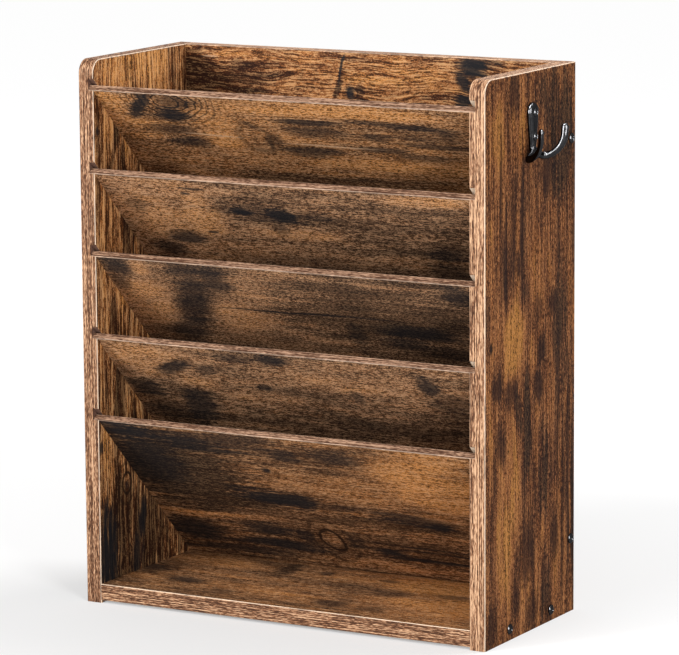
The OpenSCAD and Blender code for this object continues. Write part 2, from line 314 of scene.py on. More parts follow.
    def bump(self, height: Socket, strength: float, distance: float) -> Socket:
        """Turns a height into a bent normal; the distance is in metres."""
        return self.node("ShaderNodeBump", Strength=strength, Distance=distance, Height=height).outputs[0]

    def show(self, shader: bpy.types.Node) -> None:
        """Links a shader to the owner's output."""
        kind = "World" if isinstance(self.owner, bpy.types.World) else "Material"
        self.node("ShaderNodeOutput" + kind, Surface=shader.outputs[0])

    def surface(self, **values: object) -> bpy.types.Material:
        """Adds a material's surface shader and its output.

        Args:
            **values: The shader's inputs, with underscores for spaces.

        Returns:
            The finished material.
        """
        self.show(self.node("ShaderNodeBsdfPrincipled", **values))
        return self.owner

    def scaled_place(self) -> Socket:
        """Where a point is in the object's frame, in millimetres."""
        return self.vector_maths("MULTIPLY", self.object_place, (1 / MM, 1 / MM, 1 / MM))

    def board_place(self, lay: Lay) -> Socket:
        """Where a point is on its board, in millimetres along, across and through."""
        from_origin = self.vector_maths("SUBTRACT", self.scaled_place(), tuple(lay.origin))
        ways = (("X", lay.along), ("Y", lay.across), ("Z", lay.through))
        parts = {axis: self.vector_maths("DOT_PRODUCT", from_origin, tuple(way)) for axis, way in ways}
        return self.node("ShaderNodeCombineXYZ", **parts).outputs[0]

    def grain_place(self, place: Socket, seed: float, steps: Triple) -> Socket:
        """Moves a place to a stretch of grain of its own.

        Args:
            place: The place in millimetres.
            seed: The board's own number.
            steps: How far one seed is from the next.

        Returns:
            The new place.
        """
        return self.vector_maths("ADD", place, tuple(seed * step for step in steps))


@dataclass(frozen=True)
class Palette:
    """The colours of one printed wood, from its darkest ground to its fibres."""

    dark: Colour
    brown: Colour
    tan: Colour
    ochre: Colour
    line: Colour
    fibre: Colour


SMOKED = Palette(
    dark=srgb(50, 36, 28), brown=srgb(102, 72, 51), tan=srgb(162, 113, 76),
    ochre=srgb(208, 145, 89), line=srgb(36, 23, 15), fibre=srgb(218, 174, 134),
)
HONEY = Palette(
    dark=srgb(50, 35, 26), brown=srgb(104, 70, 46), tan=srgb(165, 110, 65),
    ochre=srgb(210, 142, 78), line=srgb(36, 22, 13), fibre=srgb(220, 174, 130),
)
RUSSET = Palette(
    dark=srgb(46, 26, 16), brown=srgb(98, 57, 32), tan=srgb(160, 102, 57),
    ochre=srgb(208, 143, 78), line=srgb(34, 15, 7), fibre=srgb(220, 172, 120),
)
OLIVE = Palette(
    dark=srgb(38, 24, 17), brown=srgb(82, 46, 28), tan=srgb(124, 74, 41),
    ochre=srgb(168, 114, 56), line=srgb(26, 15, 9), fibre=srgb(182, 126, 78),
)


@dataclass(frozen=True)
class RusticPrint:
    """The printed face of a board: sawn, weathered oak with stains and knots.

    A span is where a range begins and ends, and the results there.
    """

    name: str
    lay: Lay
    seed: float
    palette: Palette = SMOKED
    marks: tuple[Mark, ...] = ()
    knots: tuple[Knot, ...] = ()
    tone: float = 0.5
    tone_swing: float = 1.5
    line_swing: float = 1.0
    speckle: float = 1.0
    grain_wave: float = 4.0
    line_length: float = 34.0
    line_width: float = 1.7
    fibre_length: float = 3.6
    fibre_width: float = 0.8
    gloss: float = 0.12
    core: Colour = srgb(206, 180, 152)
    groove: Colour | None = None
    groove_side: tuple[float, float] = (0.0, 0.0)
    char_tint: Colour = srgb(92, 99, 108)
    char_colour: Colour = srgb(31, 34, 39)
    char_cover: float = 0.6
    knot_line: Colour = srgb(26, 16, 11)
    pale_tint: Colour = srgb(214, 180, 146)
    seed_steps: Triple = (173, 59, 37)
    wave: Grain = Grain(62, 30, 40)
    wave_reach: Triple = (12, 6, 0)
    ring_wave: Grain = Grain(26, 12, 20, 3.0, 0.6)
    ring_reach: Triple = (0.45, 0.27, 0.0)
    ring_edge: tuple[float, float] = (0.25, 0.95)
    ring_start: float = 0.3
    hollow_fade: float = 0.6
    broad: Grain = Grain(85, 17, 30, 3.0, 0.55)
    streaks: Grain = Grain(70, 4.2, 12, 3.0, 0.6)
    mottle: Grain = Grain(24, 8, 14, 4.0, 0.65)
    grit: Grain = Grain(1.3, 0.7, 0.8, 1.0, 0.6)
    fleck: Grain = Grain(0.9, 0.9, 0.9)
    fleck_edge: tuple[float, float] = (0.35, 0.6)
    narrow_lean: tuple[float, float] = (0.75, 0.65)
    core_shade: float = 0.66
    groove_shade: float = 0.7
    mark_fade: tuple[float, float] = (0.45, 1.3)
    streak_fray: float = 1.3
    fibre_fray: float = 0.8
    streak_weight: float = 0.8
    mottle_weight: float = 0.8
    line_weight: float = 2.0
    fibre_weight: float = 2.3
    grit_weight: float = 1.7
    glow_lift: float = 0.55
    umber_drop: float = 0.85
    stops: tuple[float, ...] = (0.0, 0.38, 0.68, 1.0)
    dark_lines: Span = (0.04, -0.55, 0.0, 0.85)
    light_lines: Span = (0.06, 0.6, 0.0, 0.7)
    light_by_tone: Span = (0.1, 0.65, 0.3, 1.0)
    roughness: Span = (-0.5, 0.5, 0.62, 0.48)
    line_height: float = 0.6
    fibre_height: float = 0.5
    relief: float = 0.28
    relief_depth: float = 0.00025

    def spot_distance(self, tree: Tree, place: Socket, spot: Mark | Knot) -> Socket:
        """How far a point is from a spot's middle, where 1 is its outline.

        Args:
            tree: The material's tree.
            place: The point in board millimetres.
            spot: The mark or knot.

        Returns:
            The distance's socket.
        """
        node = tree.node(
            "ShaderNodeMapping", Vector=place, Location=(spot.along, spot.across, 0.0),
            Rotation=(0.0, 0.0, math.radians(spot.turn)), Scale=(spot.half_length, spot.half_width, 1.0),
        )
        node.vector_type = "TEXTURE"
        return tree.vector_maths("LENGTH", node.outputs[0])

    def masks(self, tree: Tree, place: Socket, ragged: Socket) -> dict[Tint, Socket]:
        """How strongly each kind of mark colours a point.

        Args:
            tree: The material's tree.
            place: The point in board millimetres, pushed about a little.
            ragged: A small number that frays the marks' outlines.

        Returns:
            One socket for each kind of mark on the board.
        """
        found: dict[Tint, Socket] = {}
        for mark in self.marks:
            distance = tree.maths("ADD", self.spot_distance(tree, place, mark), ragged)
            share = tree.span(distance, *self.mark_fade, mark.strength, 0.0)
            if mark.tint in found:
                share = tree.maths("MAXIMUM", found[mark.tint], share)
            found[mark.tint] = share
        return found

    def wood(self, tree: Tree, tone: Socket, fine: Socket) -> Socket:
        """Colours the wood by its tone and draws its dark lines and light fibres.

        Args:
            tree: The material's tree.
            tone: How light the ground is, from 0 to 1.
            fine: The fine grain, below 0 in lines and above 0 in fibres.

        Returns:
            The colour.
        """
        ink = self.palette
        colour = tree.ramp(tone, list(zip(self.stops, (ink.dark, ink.brown, ink.tan, ink.ochre))))
        light = tree.maths("MULTIPLY", tree.span(fine, *self.light_lines), tree.span(tone, *self.light_by_tone))
        colour = tree.mix(tree.span(fine, *self.dark_lines), colour, ink.line)
        return tree.mix(light, colour, ink.fibre)

    def draw_knots(self, tree: Tree, place: Socket, warp: Socket, colour: Socket) -> Socket:
        """Draws the knots' dark outlines and rings over the wood.

        Args:
            tree: The material's tree.
            place: The point in board millimetres, pushed about a little.
            warp: The uneven shift of the rings, in half widths of a knot.
            colour: The wood's colour.

        Returns:
            The new colour.
        """
        for knot in self.knots:
            shift = tree.vector_maths("MULTIPLY", warp, (knot.half_width, knot.half_width, 0.0))
            distance = self.spot_distance(tree, tree.vector_maths("ADD", place, shift), knot)
            turns = tree.maths("MULTIPLY", distance, knot.rings * math.tau)
            ring = tree.span(tree.maths("COSINE", turns), *self.ring_edge)
            fade = tree.span(distance, self.ring_start, knot.reach, knot.strength, 0.0)
            share = tree.maths("MULTIPLY", ring, fade)
            if knot.hollow:
                inside = tree.span(distance, knot.hollow * self.hollow_fade, knot.hollow)
                share = tree.maths("MULTIPLY", share, inside)
            colour = tree.mix(share, colour, self.knot_line)
        return colour

    def stain(self, tree: Tree, masks: dict[Tint, Socket], colour: Socket) -> Socket:
        """Lays the charcoal and the pale streaks over the wood.

        Args:
            tree: The material's tree.
            masks: How strongly each kind of mark colours a point.
            colour: The wood's colour.

        Returns:
            The new colour.
        """
        if Tint.CHAR in masks:
            colour = tree.mix(masks[Tint.CHAR], colour, self.char_tint, "MULTIPLY")
            colour = tree.mix(tree.maths("MULTIPLY", masks[Tint.CHAR], self.char_cover), colour, self.char_colour)
        if Tint.PALE in masks:
            colour = tree.mix(masks[Tint.PALE], colour, self.pale_tint)
        return colour

    def show_cuts(self, tree: Tree, grain_place: Socket, colour: Socket) -> Socket:
        """Shows the board's core on its narrow faces and the colour of its grooves.

        Args:
            tree: The material's tree.
            grain_place: The point in the board's own stretch of grain.
            colour: The print's colour.

        Returns:
            The new colour.
        """
        facing = tree.maths("ABSOLUTE", tree.vector_maths("DOT_PRODUCT", tree.normal, tuple(self.lay.through)))
        narrow = tree.span(facing, *self.narrow_lean, soft=False)
        fleck = tree.span(tree.noise(grain_place, self.fleck), *self.fleck_edge)
        colour = tree.mix(narrow, colour, tree.mix(fleck, shade(self.core, self.core_shade), self.core))
        # The groove colour covers the groove walls; on the left panel it is a darker painted shade over the same
        # core.
        if self.groove:
            inside = tree.between(tree.split(tree.scaled_place())[0], *self.groove_side)
            tinted = tree.mix(fleck, shade(self.groove, self.groove_shade), self.groove)
            colour = tree.mix(inside, colour, tinted)
        return colour

    def build(self) -> bpy.types.Material:
        """Builds the material."""
        tree = Tree(bpy.data.materials.new(self.name))
        place = tree.board_place(self.lay)
        grain_place = tree.grain_place(place, self.seed, self.seed_steps)
        push = tree.shift(grain_place, self.wave, self.wave_reach)
        drift = tree.vector_maths("MULTIPLY", push, (0.0, self.grain_wave / self.wave_reach[1], 0.0))
        bent = tree.vector_maths("ADD", grain_place, drift)
        streaks = tree.noise(bent, self.streaks)
        lines = tree.noise(bent, Grain(self.line_length, self.line_width, through=6, rough=0.55))
        fibres = tree.noise(bent, Grain(self.fibre_length, self.fibre_width, through=2, detail=1.0, rough=0.6))
        fine = tree.swings(
            (lines, self.line_weight * self.line_swing),
            (fibres, self.fibre_weight * self.speckle),
            (tree.noise(grain_place, self.grit), self.grit_weight * self.speckle),
        )
        tone = tree.swings(
            (tree.noise(bent, self.broad), self.tone_swing),
            (streaks, self.streak_weight * self.line_swing),
            (tree.noise(bent, self.mottle), self.mottle_weight),
            start=self.tone,
        )
        flat = tree.vector_maths("MULTIPLY", tree.vector_maths("ADD", place, push), (1.0, 1.0, 0.0))
        ragged = tree.swings((streaks, self.streak_fray), (fibres, self.fibre_fray))
        masks = self.masks(tree, flat, ragged)
        for tint, lift in ((Tint.GLOW, self.glow_lift), (Tint.UMBER, -self.umber_drop)):
            if tint in masks:
                tone = tree.maths("MULTIPLY_ADD", masks[tint], lift, tone)
        colour = self.wood(tree, tone, fine)
        warp = tree.shift(grain_place, self.ring_wave, self.ring_reach)
        colour = self.draw_knots(tree, flat, warp, colour)
        colour = self.stain(tree, masks, colour)
        fibre_height = tree.maths("MULTIPLY", fibres, self.fibre_height)
        height = tree.maths("MULTIPLY_ADD", lines, self.line_height, fibre_height)
        return tree.surface(
            Base_Color=self.show_cuts(tree, grain_place, colour),
            Roughness=tree.span(fine, *self.roughness, soft=False),
            Specular_IOR_Level=self.gloss,
            Normal=tree.bump(height, self.relief, self.relief_depth),
        )


@dataclass(frozen=True)
class BandPrint:
    """An edge band: pale printed grain along it and a cream bevel on its long edges."""

    name: str
    lay: Lay
    seed: float
    base: Colour = srgb(150, 105, 75)
    dark: Colour = srgb(74, 46, 30)
    light: Colour = srgb(221, 177, 139)
    cream: Colour = srgb(240, 214, 188)
    tone: float = 0.0
    fibre_width: float = 0.5
    near_bevel: float = 0.9
    far_bevel: float = 0.3
    bevel_lean: tuple[float, float] = (0.4, 0.92)
    seed_steps: Triple = (131, 41, 17)
    line_length: float = 20.0
    pore_length: float = 3.6
    vein_length: float = 150.0
    vein_share: float = 1.5
    broad: Grain = Grain(46, 4.5, 20)
    broad_weight: float = 0.9
    vein_weight: float = 2.8
    line_weight: float = 3.6
    pore_weight: float = 3.0
    dark_lines: Span = (0.0, -0.5, 0.0, 1.0)
    light_lines: Span = (0.06, 0.5, 0.0, 0.95)
    wear: Span = (0.36, 0.46, 0.5, 1.0)
    roughness: Span = (-0.5, 0.5, 0.6, 0.46)
    line_height: float = 0.7
    pore_height: float = 0.4
    gloss: float = 0.15
    relief: float = 0.3
    relief_depth: float = 0.0002

    def build(self) -> bpy.types.Material:
        """Builds the material."""
        tree = Tree(bpy.data.materials.new(self.name))
        place = tree.grain_place(tree.board_place(self.lay), self.seed, self.seed_steps)
        lines = tree.noise(place, Grain(self.line_length, self.fibre_width, through=3, rough=0.6))
        pores = tree.noise(place, Grain(self.pore_length, self.fibre_width, through=2, detail=1.0))
        veins = tree.noise(place, Grain(self.vein_length, self.fibre_width * self.vein_share, through=8))
        fine = tree.swings(
            (lines, self.line_weight),
            (veins, self.vein_weight),
            (pores, self.pore_weight),
            (tree.noise(place, self.broad), self.broad_weight),
        )
        fine = tree.maths("ADD", fine, self.tone)
        colour = tree.mix(tree.span(fine, *self.dark_lines), self.base, self.dark)
        colour = tree.mix(tree.span(fine, *self.light_lines), colour, self.light)
        leaning = tree.vector_maths("DOT_PRODUCT", tree.normal, tuple(self.lay.across))
        worn = tree.span(lines, *self.wear)
        for sign, weight in ((1, self.near_bevel), (-1, self.far_bevel)):
            bevel = tree.between(tree.maths("MULTIPLY", leaning, sign), *self.bevel_lean)
            bevel = tree.maths("MULTIPLY", bevel, weight)
            colour = tree.mix(tree.maths("MULTIPLY", bevel, worn), colour, self.cream)
        pore_height = tree.maths("MULTIPLY", pores, self.pore_height)
        height = tree.maths("MULTIPLY_ADD", lines, self.line_height, pore_height)
        return tree.surface(
            Base_Color=colour,
            Roughness=tree.span(fine, *self.roughness, soft=False),
            Specular_IOR_Level=self.gloss,
            Normal=tree.bump(height, self.relief, self.relief_depth),
        )


@dataclass(frozen=True)
class BlackEnamel:
    """Glossy black enamel on cast or turned steel."""

    name: str = "black_enamel"
    colour: Colour = srgb(44, 44, 45)
    edge_tint: Colour = srgb(182, 182, 183)
    roughness: Span = (0.3, 0.7, 0.1, 0.2)
    cloud: Grain = Grain(2.2, 2.2, 2.2, 3.0)
    cloud_edge: tuple[float, float] = (0.35, 0.65)
    cloud_light: float = 1.3
    dust: Grain = Grain(0.35, 0.35, 0.35, 1.0)
    dust_height: float = 0.15
    relief: float = 0.2
    relief_depth: float = 0.00008

    def build(self) -> bpy.types.Material:
        """Builds the material."""
        tree = Tree(bpy.data.materials.new(self.name))
        place = tree.scaled_place()
        cloud = tree.noise(place, self.cloud)
        height = tree.maths("MULTIPLY_ADD", tree.noise(place, self.dust), self.dust_height, cloud)
        lighter = shade(self.colour, self.cloud_light)
        return tree.surface(
            Base_Color=tree.mix(tree.span(cloud, *self.cloud_edge), self.colour, lighter),
            Metallic=1.0,
            Roughness=tree.span(cloud, *self.roughness),
            Specular_Tint=self.edge_tint,
            Normal=tree.bump(height, self.relief, self.relief_depth),
        )


@dataclass(frozen=True)
class ZincSteel:
    """Bright zinc plating on pressed or turned steel, with faint spangle and drawing lines."""

    name: str = "zinc_steel"
    colour: Colour = srgb(186, 190, 196)
    spangle: Colour = srgb(150, 156, 166)
    spangle_scale: float = 0.55
    spangle_share: float = 0.5
    spangle_rough: float = 0.12
    roughness: Span = (0.35, 0.65, 0.26, 0.4)
    drawn: Grain = Grain(0.25, 0.25, 9.0)
    relief: float = 0.12
    relief_depth: float = 0.00005

    def build(self) -> bpy.types.Material:
        """Builds the material."""
        tree = Tree(bpy.data.materials.new(self.name))
        place = tree.scaled_place()
        cells = tree.node("ShaderNodeTexVoronoi", Vector=place, Scale=self.spangle_scale)
        tint = tree.split(cells.outputs["Color"])[0]
        lines = tree.noise(place, self.drawn)
        return tree.surface(
            Base_Color=tree.mix(tree.maths("MULTIPLY", tint, self.spangle_share), self.colour, self.spangle),
            Metallic=1.0,
            Roughness=tree.maths("MULTIPLY_ADD", tint, self.spangle_rough, tree.span(lines, *self.roughness)),
            Normal=tree.bump(lines, self.relief, self.relief_depth),
        )


def deselect_all() -> None:
    """Leaves object mode with nothing selected."""
    if bpy.context.mode != "OBJECT":
        bpy.ops.object.mode_set(mode="OBJECT")
    bpy.ops.object.select_all(action="DESELECT")


def make_active(piece: Piece) -> None:
    """Selects one piece alone and makes it active."""
    deselect_all()
    piece.select_set(True)
    bpy.context.view_layer.objects.active = piece


def run_modifier(piece: Piece, kind: str, **settings: object) -> None:
    """Adds a modifier and applies it.

    Args:
        piece: The piece to change.
        kind: The modifier's type.
        **settings: The modifier's settings.
    """
    make_active(piece)
    modifier = piece.modifiers.new(kind.title(), kind)
    for name, value in settings.items():
        setattr(modifier, name, value)
    bpy.ops.object.modifier_apply(modifier=modifier.name)


def settle(piece: Piece) -> None:
    """Puts a piece's place, turn and scale into its mesh."""
    make_active(piece)
    bpy.ops.object.transform_apply(location=True, rotation=True, scale=True)


def join_pieces(pieces: list[Piece], name: str) -> Piece:
    """Joins meshes into one object.

    Args:
        pieces: The meshes.
        name: The joined piece's name.

    Returns:
        The joined piece.
    """
    deselect_all()
    for piece in pieces:
        piece.select_set(True)
    bpy.context.view_layer.objects.active = pieces[0]
    bpy.ops.object.join()
    pieces[0].name = name
    pieces[0].data.name = name
    return pieces[0]


def add_piece(name: str, mesh: bpy.types.Mesh) -> Piece:
    """Puts a mesh into the scene as a piece."""
    piece = bpy.data.objects.new(name, mesh)
    bpy.context.scene.collection.objects.link(piece)
    return piece


def copy_to(piece: Piece, place: Matrix, name: str) -> Piece:
    """Copies a piece, with a mesh of its own, to another place.

    Args:
        piece: The piece to copy.
        place: Where the copy goes; the place ends up in its mesh.
        name: The copy's name.

    Returns:
        The copy.
    """
    twin = add_piece(name, piece.data.copy())
    twin.data.transform(place)
    return twin


def cut_away(piece: Piece, cutter: Piece) -> None:
    """Cuts one mesh from another and removes the cutter."""
    run_modifier(piece, "BOOLEAN", operation="DIFFERENCE", object=cutter, solver="EXACT")
    bpy.data.objects.remove(cutter)


def smooth_faces(piece: Piece, angle: float) -> None:
    """Shades a piece smoothly, apart from edges sharper than the angle in degrees."""
    make_active(piece)
    bpy.ops.object.shade_smooth_by_angle(angle=math.radians(angle))


def open_mesh(piece: Piece) -> None:
    """Opens a piece for editing with all of it selected."""
    make_active(piece)
    bpy.ops.object.mode_set(mode="EDIT")
    bpy.ops.mesh.select_all(action="SELECT")


def open_below(piece: Piece, level: float) -> None:
    """Opens a piece for editing with only what is below a level in millimetres selected."""
    open_mesh(piece)
    bpy.ops.mesh.select_all(action="DESELECT")
    bpy.ops.object.mode_set(mode="OBJECT")
    for vertex in piece.data.vertices:
        vertex.select = vertex.co.z < level * MM
    bpy.ops.object.mode_set(mode="EDIT")


def turn_outwards(piece: Piece) -> None:
    """Points all faces of a closed mesh outwards and leaves object mode on."""
    open_mesh(piece)
    bpy.ops.mesh.normals_make_consistent(inside=False)
    bpy.ops.object.mode_set(mode="OBJECT")


def finish_piece(piece: Piece, material: bpy.types.Material, slot: str, *nodes: str) -> None:
    """Dresses a modelled piece and says which nodes it stands for.

    Args:
        piece: The piece.
        material: Its finish.
        slot: The record's material slot; not used.
        *nodes: The CAD nodes that it replaces.
    """
    piece.data.materials.clear()
    piece.data.materials.append(material)
    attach(piece, BODY)
    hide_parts(*nodes)
    LOG.info("%s stands for %s with %d faces", piece.name, ", ".join(nodes), len(piece.data.polygons))


@dataclass(frozen=True)
class Screw:
    """A wood screw with its head on z = 0 and its shank going down. Sizes are in millimetres."""

    shank_d: float
    length: float
    head_d: float
    head_h: float
    tip_l: float
    flat_head: bool = False
    thread_pitch: float = 1.5
    plain_l: float = 3.0
    neck_l: float = 0.5
    core_share: float = 0.72
    point_share: float = 0.04
    crest_share: float = 0.985
    ridge_share: float = 0.22
    thread_gap: float = 0.6
    overlap: float = 0.05
    root_sink: float = 0.08
    rim_share: float = 0.3
    dome_shares: tuple[float, ...] = (0.94, 0.84, 0.7, 0.54, 0.36, 0.18)
    flat_inset: float = 0.12
    recess_depth: float = 0.62
    bar_length: float = 0.58
    bar_width: float = 0.16
    bar_taper: float = 0.55
    bar_rise: float = 0.5
    edge_bevel: float = 0.09
    edge_angle: float = 35.0
    smooth_angle: float = 32.0
    segments: int = 32
    turn_steps: int = 20

    @property
    def top(self) -> float:
        """Where the shank starts."""
        return -self.head_h if self.flat_head else 0.0

    def disc(self, radius: float, height: float) -> Piece:
        """Adds a flat disc, open for editing."""
        deselect_all()
        bpy.ops.mesh.primitive_circle_add(
            vertices=self.segments, radius=radius * MM, fill_type="NGON", location=(0, 0, height * MM)
        )
        made = bpy.context.active_object
        open_mesh(made)
        return made

    @staticmethod
    def draw_out(rise: float, widen: float = 1.0) -> None:
        """Draws the selected face up by a rise and then widens it."""
        bpy.ops.mesh.extrude_region_move(TRANSFORM_OT_translate={"value": (0, 0, rise * MM)})
        bpy.ops.transform.resize(value=(widen, widen, 1), center_override=(0, 0, 0))

    def head(self) -> Piece:
        """Models the head: a disc drawn up in rings to a dome, or a countersunk cone."""
        radius = self.head_d / 2
        if self.flat_head:
            bottom_r = self.shank_d / 2
            made = self.disc(bottom_r, -self.head_h)
            self.draw_out(self.head_h, radius / bottom_r)
            bpy.ops.mesh.inset(thickness=self.flat_inset * MM)
        else:
            rim = self.head_h * self.rim_share
            dome_h = self.head_h - rim
            dome_r = (radius * radius + dome_h * dome_h) / (2 * dome_h)
            made = self.disc(radius, 0)
            self.draw_out(rim)
            last_r, last_h = radius, 0.0
            for share in self.dome_shares:
                ring_r = radius * share
                ring_h = math.sqrt(dome_r * dome_r - ring_r * ring_r) - (dome_r - dome_h)
                bpy.ops.mesh.inset(thickness=(last_r - ring_r) * MM)
                bpy.ops.transform.translate(value=(0, 0, (ring_h - last_h) * MM))
                last_r, last_h = ring_r, ring_h
        turn_outwards(made)
        return made

    def recess(self) -> Piece:
        """Models the tapered cross that is cut into the head."""
        top = 0.0 if self.flat_head else self.head_h
        depth = self.head_h * self.recess_depth
        bars = []
        for turn in (0, 90):
            deselect_all()
            bpy.ops.mesh.primitive_cube_add(size=1, location=(0, 0, (top - (depth - self.bar_rise) / 2) * MM))
            bar = bpy.context.active_object
            sizes = (self.head_d * self.bar_length, self.head_d * self.bar_width, depth + self.bar_rise)
            bar.scale = Vector(sizes) * MM
            bar.rotation_euler = (0, 0, math.radians(turn))
            settle(bar)
            open_below(bar, top - depth + self.overlap)
            bpy.ops.transform.resize(value=(self.bar_taper, self.bar_taper, 1), center_override=(0, 0, 0))
            bpy.ops.object.mode_set(mode="OBJECT")
            bars.append(bar)
        run_modifier(bars[0], "BOOLEAN", operation="UNION", object=bars[1], solver="EXACT")
        bpy.data.objects.remove(bars[1])
        return bars[0]

    def shank(self) -> Piece:
        """Models the core of the shank with its point."""
        last_r = self.shank_d / 2
        last_z = self.top + self.overlap
        core_r = last_r * self.core_share
        neck = self.top - self.plain_l
        rings = [
            (neck, last_r),
            (neck - self.neck_l, core_r),
            (-self.length + self.tip_l, core_r),
            (-self.length, self.shank_d * self.point_share),
        ]
        made = self.disc(last_r, last_z)
        for ring_z, ring_r in rings:
            self.draw_out(ring_z - last_z, ring_r / last_r)
            last_z, last_r = ring_z, ring_r
        turn_outwards(made)
        return made

    def thread(self) -> Piece:
        """Models the thread: a small ridge wound round the core."""
        radius = self.shank_d / 2
        half = self.thread_pitch * self.ridge_share
        low = -self.length + self.tip_l
        turns = max(1, int((self.top - self.plain_l - self.thread_gap - low) / self.thread_pitch))
        root_r = radius * self.core_share - self.root_sink
        corners = [(root_r, 0, low - half), (root_r, 0, low + half), (radius * self.crest_share, 0, low)]
        mesh = bpy.data.meshes.new("thread")
        mesh.from_pydata([tuple(c * MM for c in corner) for corner in corners], [(0, 1), (1, 2), (2, 0)], [])
        ridge = add_piece("thread", mesh)
        run_modifier(
            ridge, "SCREW", axis="Z", angle=math.tau, screw_offset=self.thread_pitch * MM, iterations=turns,
            steps=self.turn_steps, render_steps=self.turn_steps, use_merge_vertices=True, merge_threshold=0.000001,
        )
        open_mesh(ridge)
        bpy.ops.mesh.fill_holes(sides=4)
        turn_outwards(ridge)
        return ridge

    def build(self, name: str) -> Piece:
        """Models the whole screw, upright at the origin."""
        head = self.head()
        cut_away(head, self.recess())
        run_modifier(
            head, "BEVEL", width=self.edge_bevel * MM, segments=2, limit_method="ANGLE",
            angle_limit=math.radians(self.edge_angle),
        )
        whole = join_pieces([head, self.shank(), self.thread()], name)
        settle(whole)
        smooth_faces(whole, self.smooth_angle)
        return whole


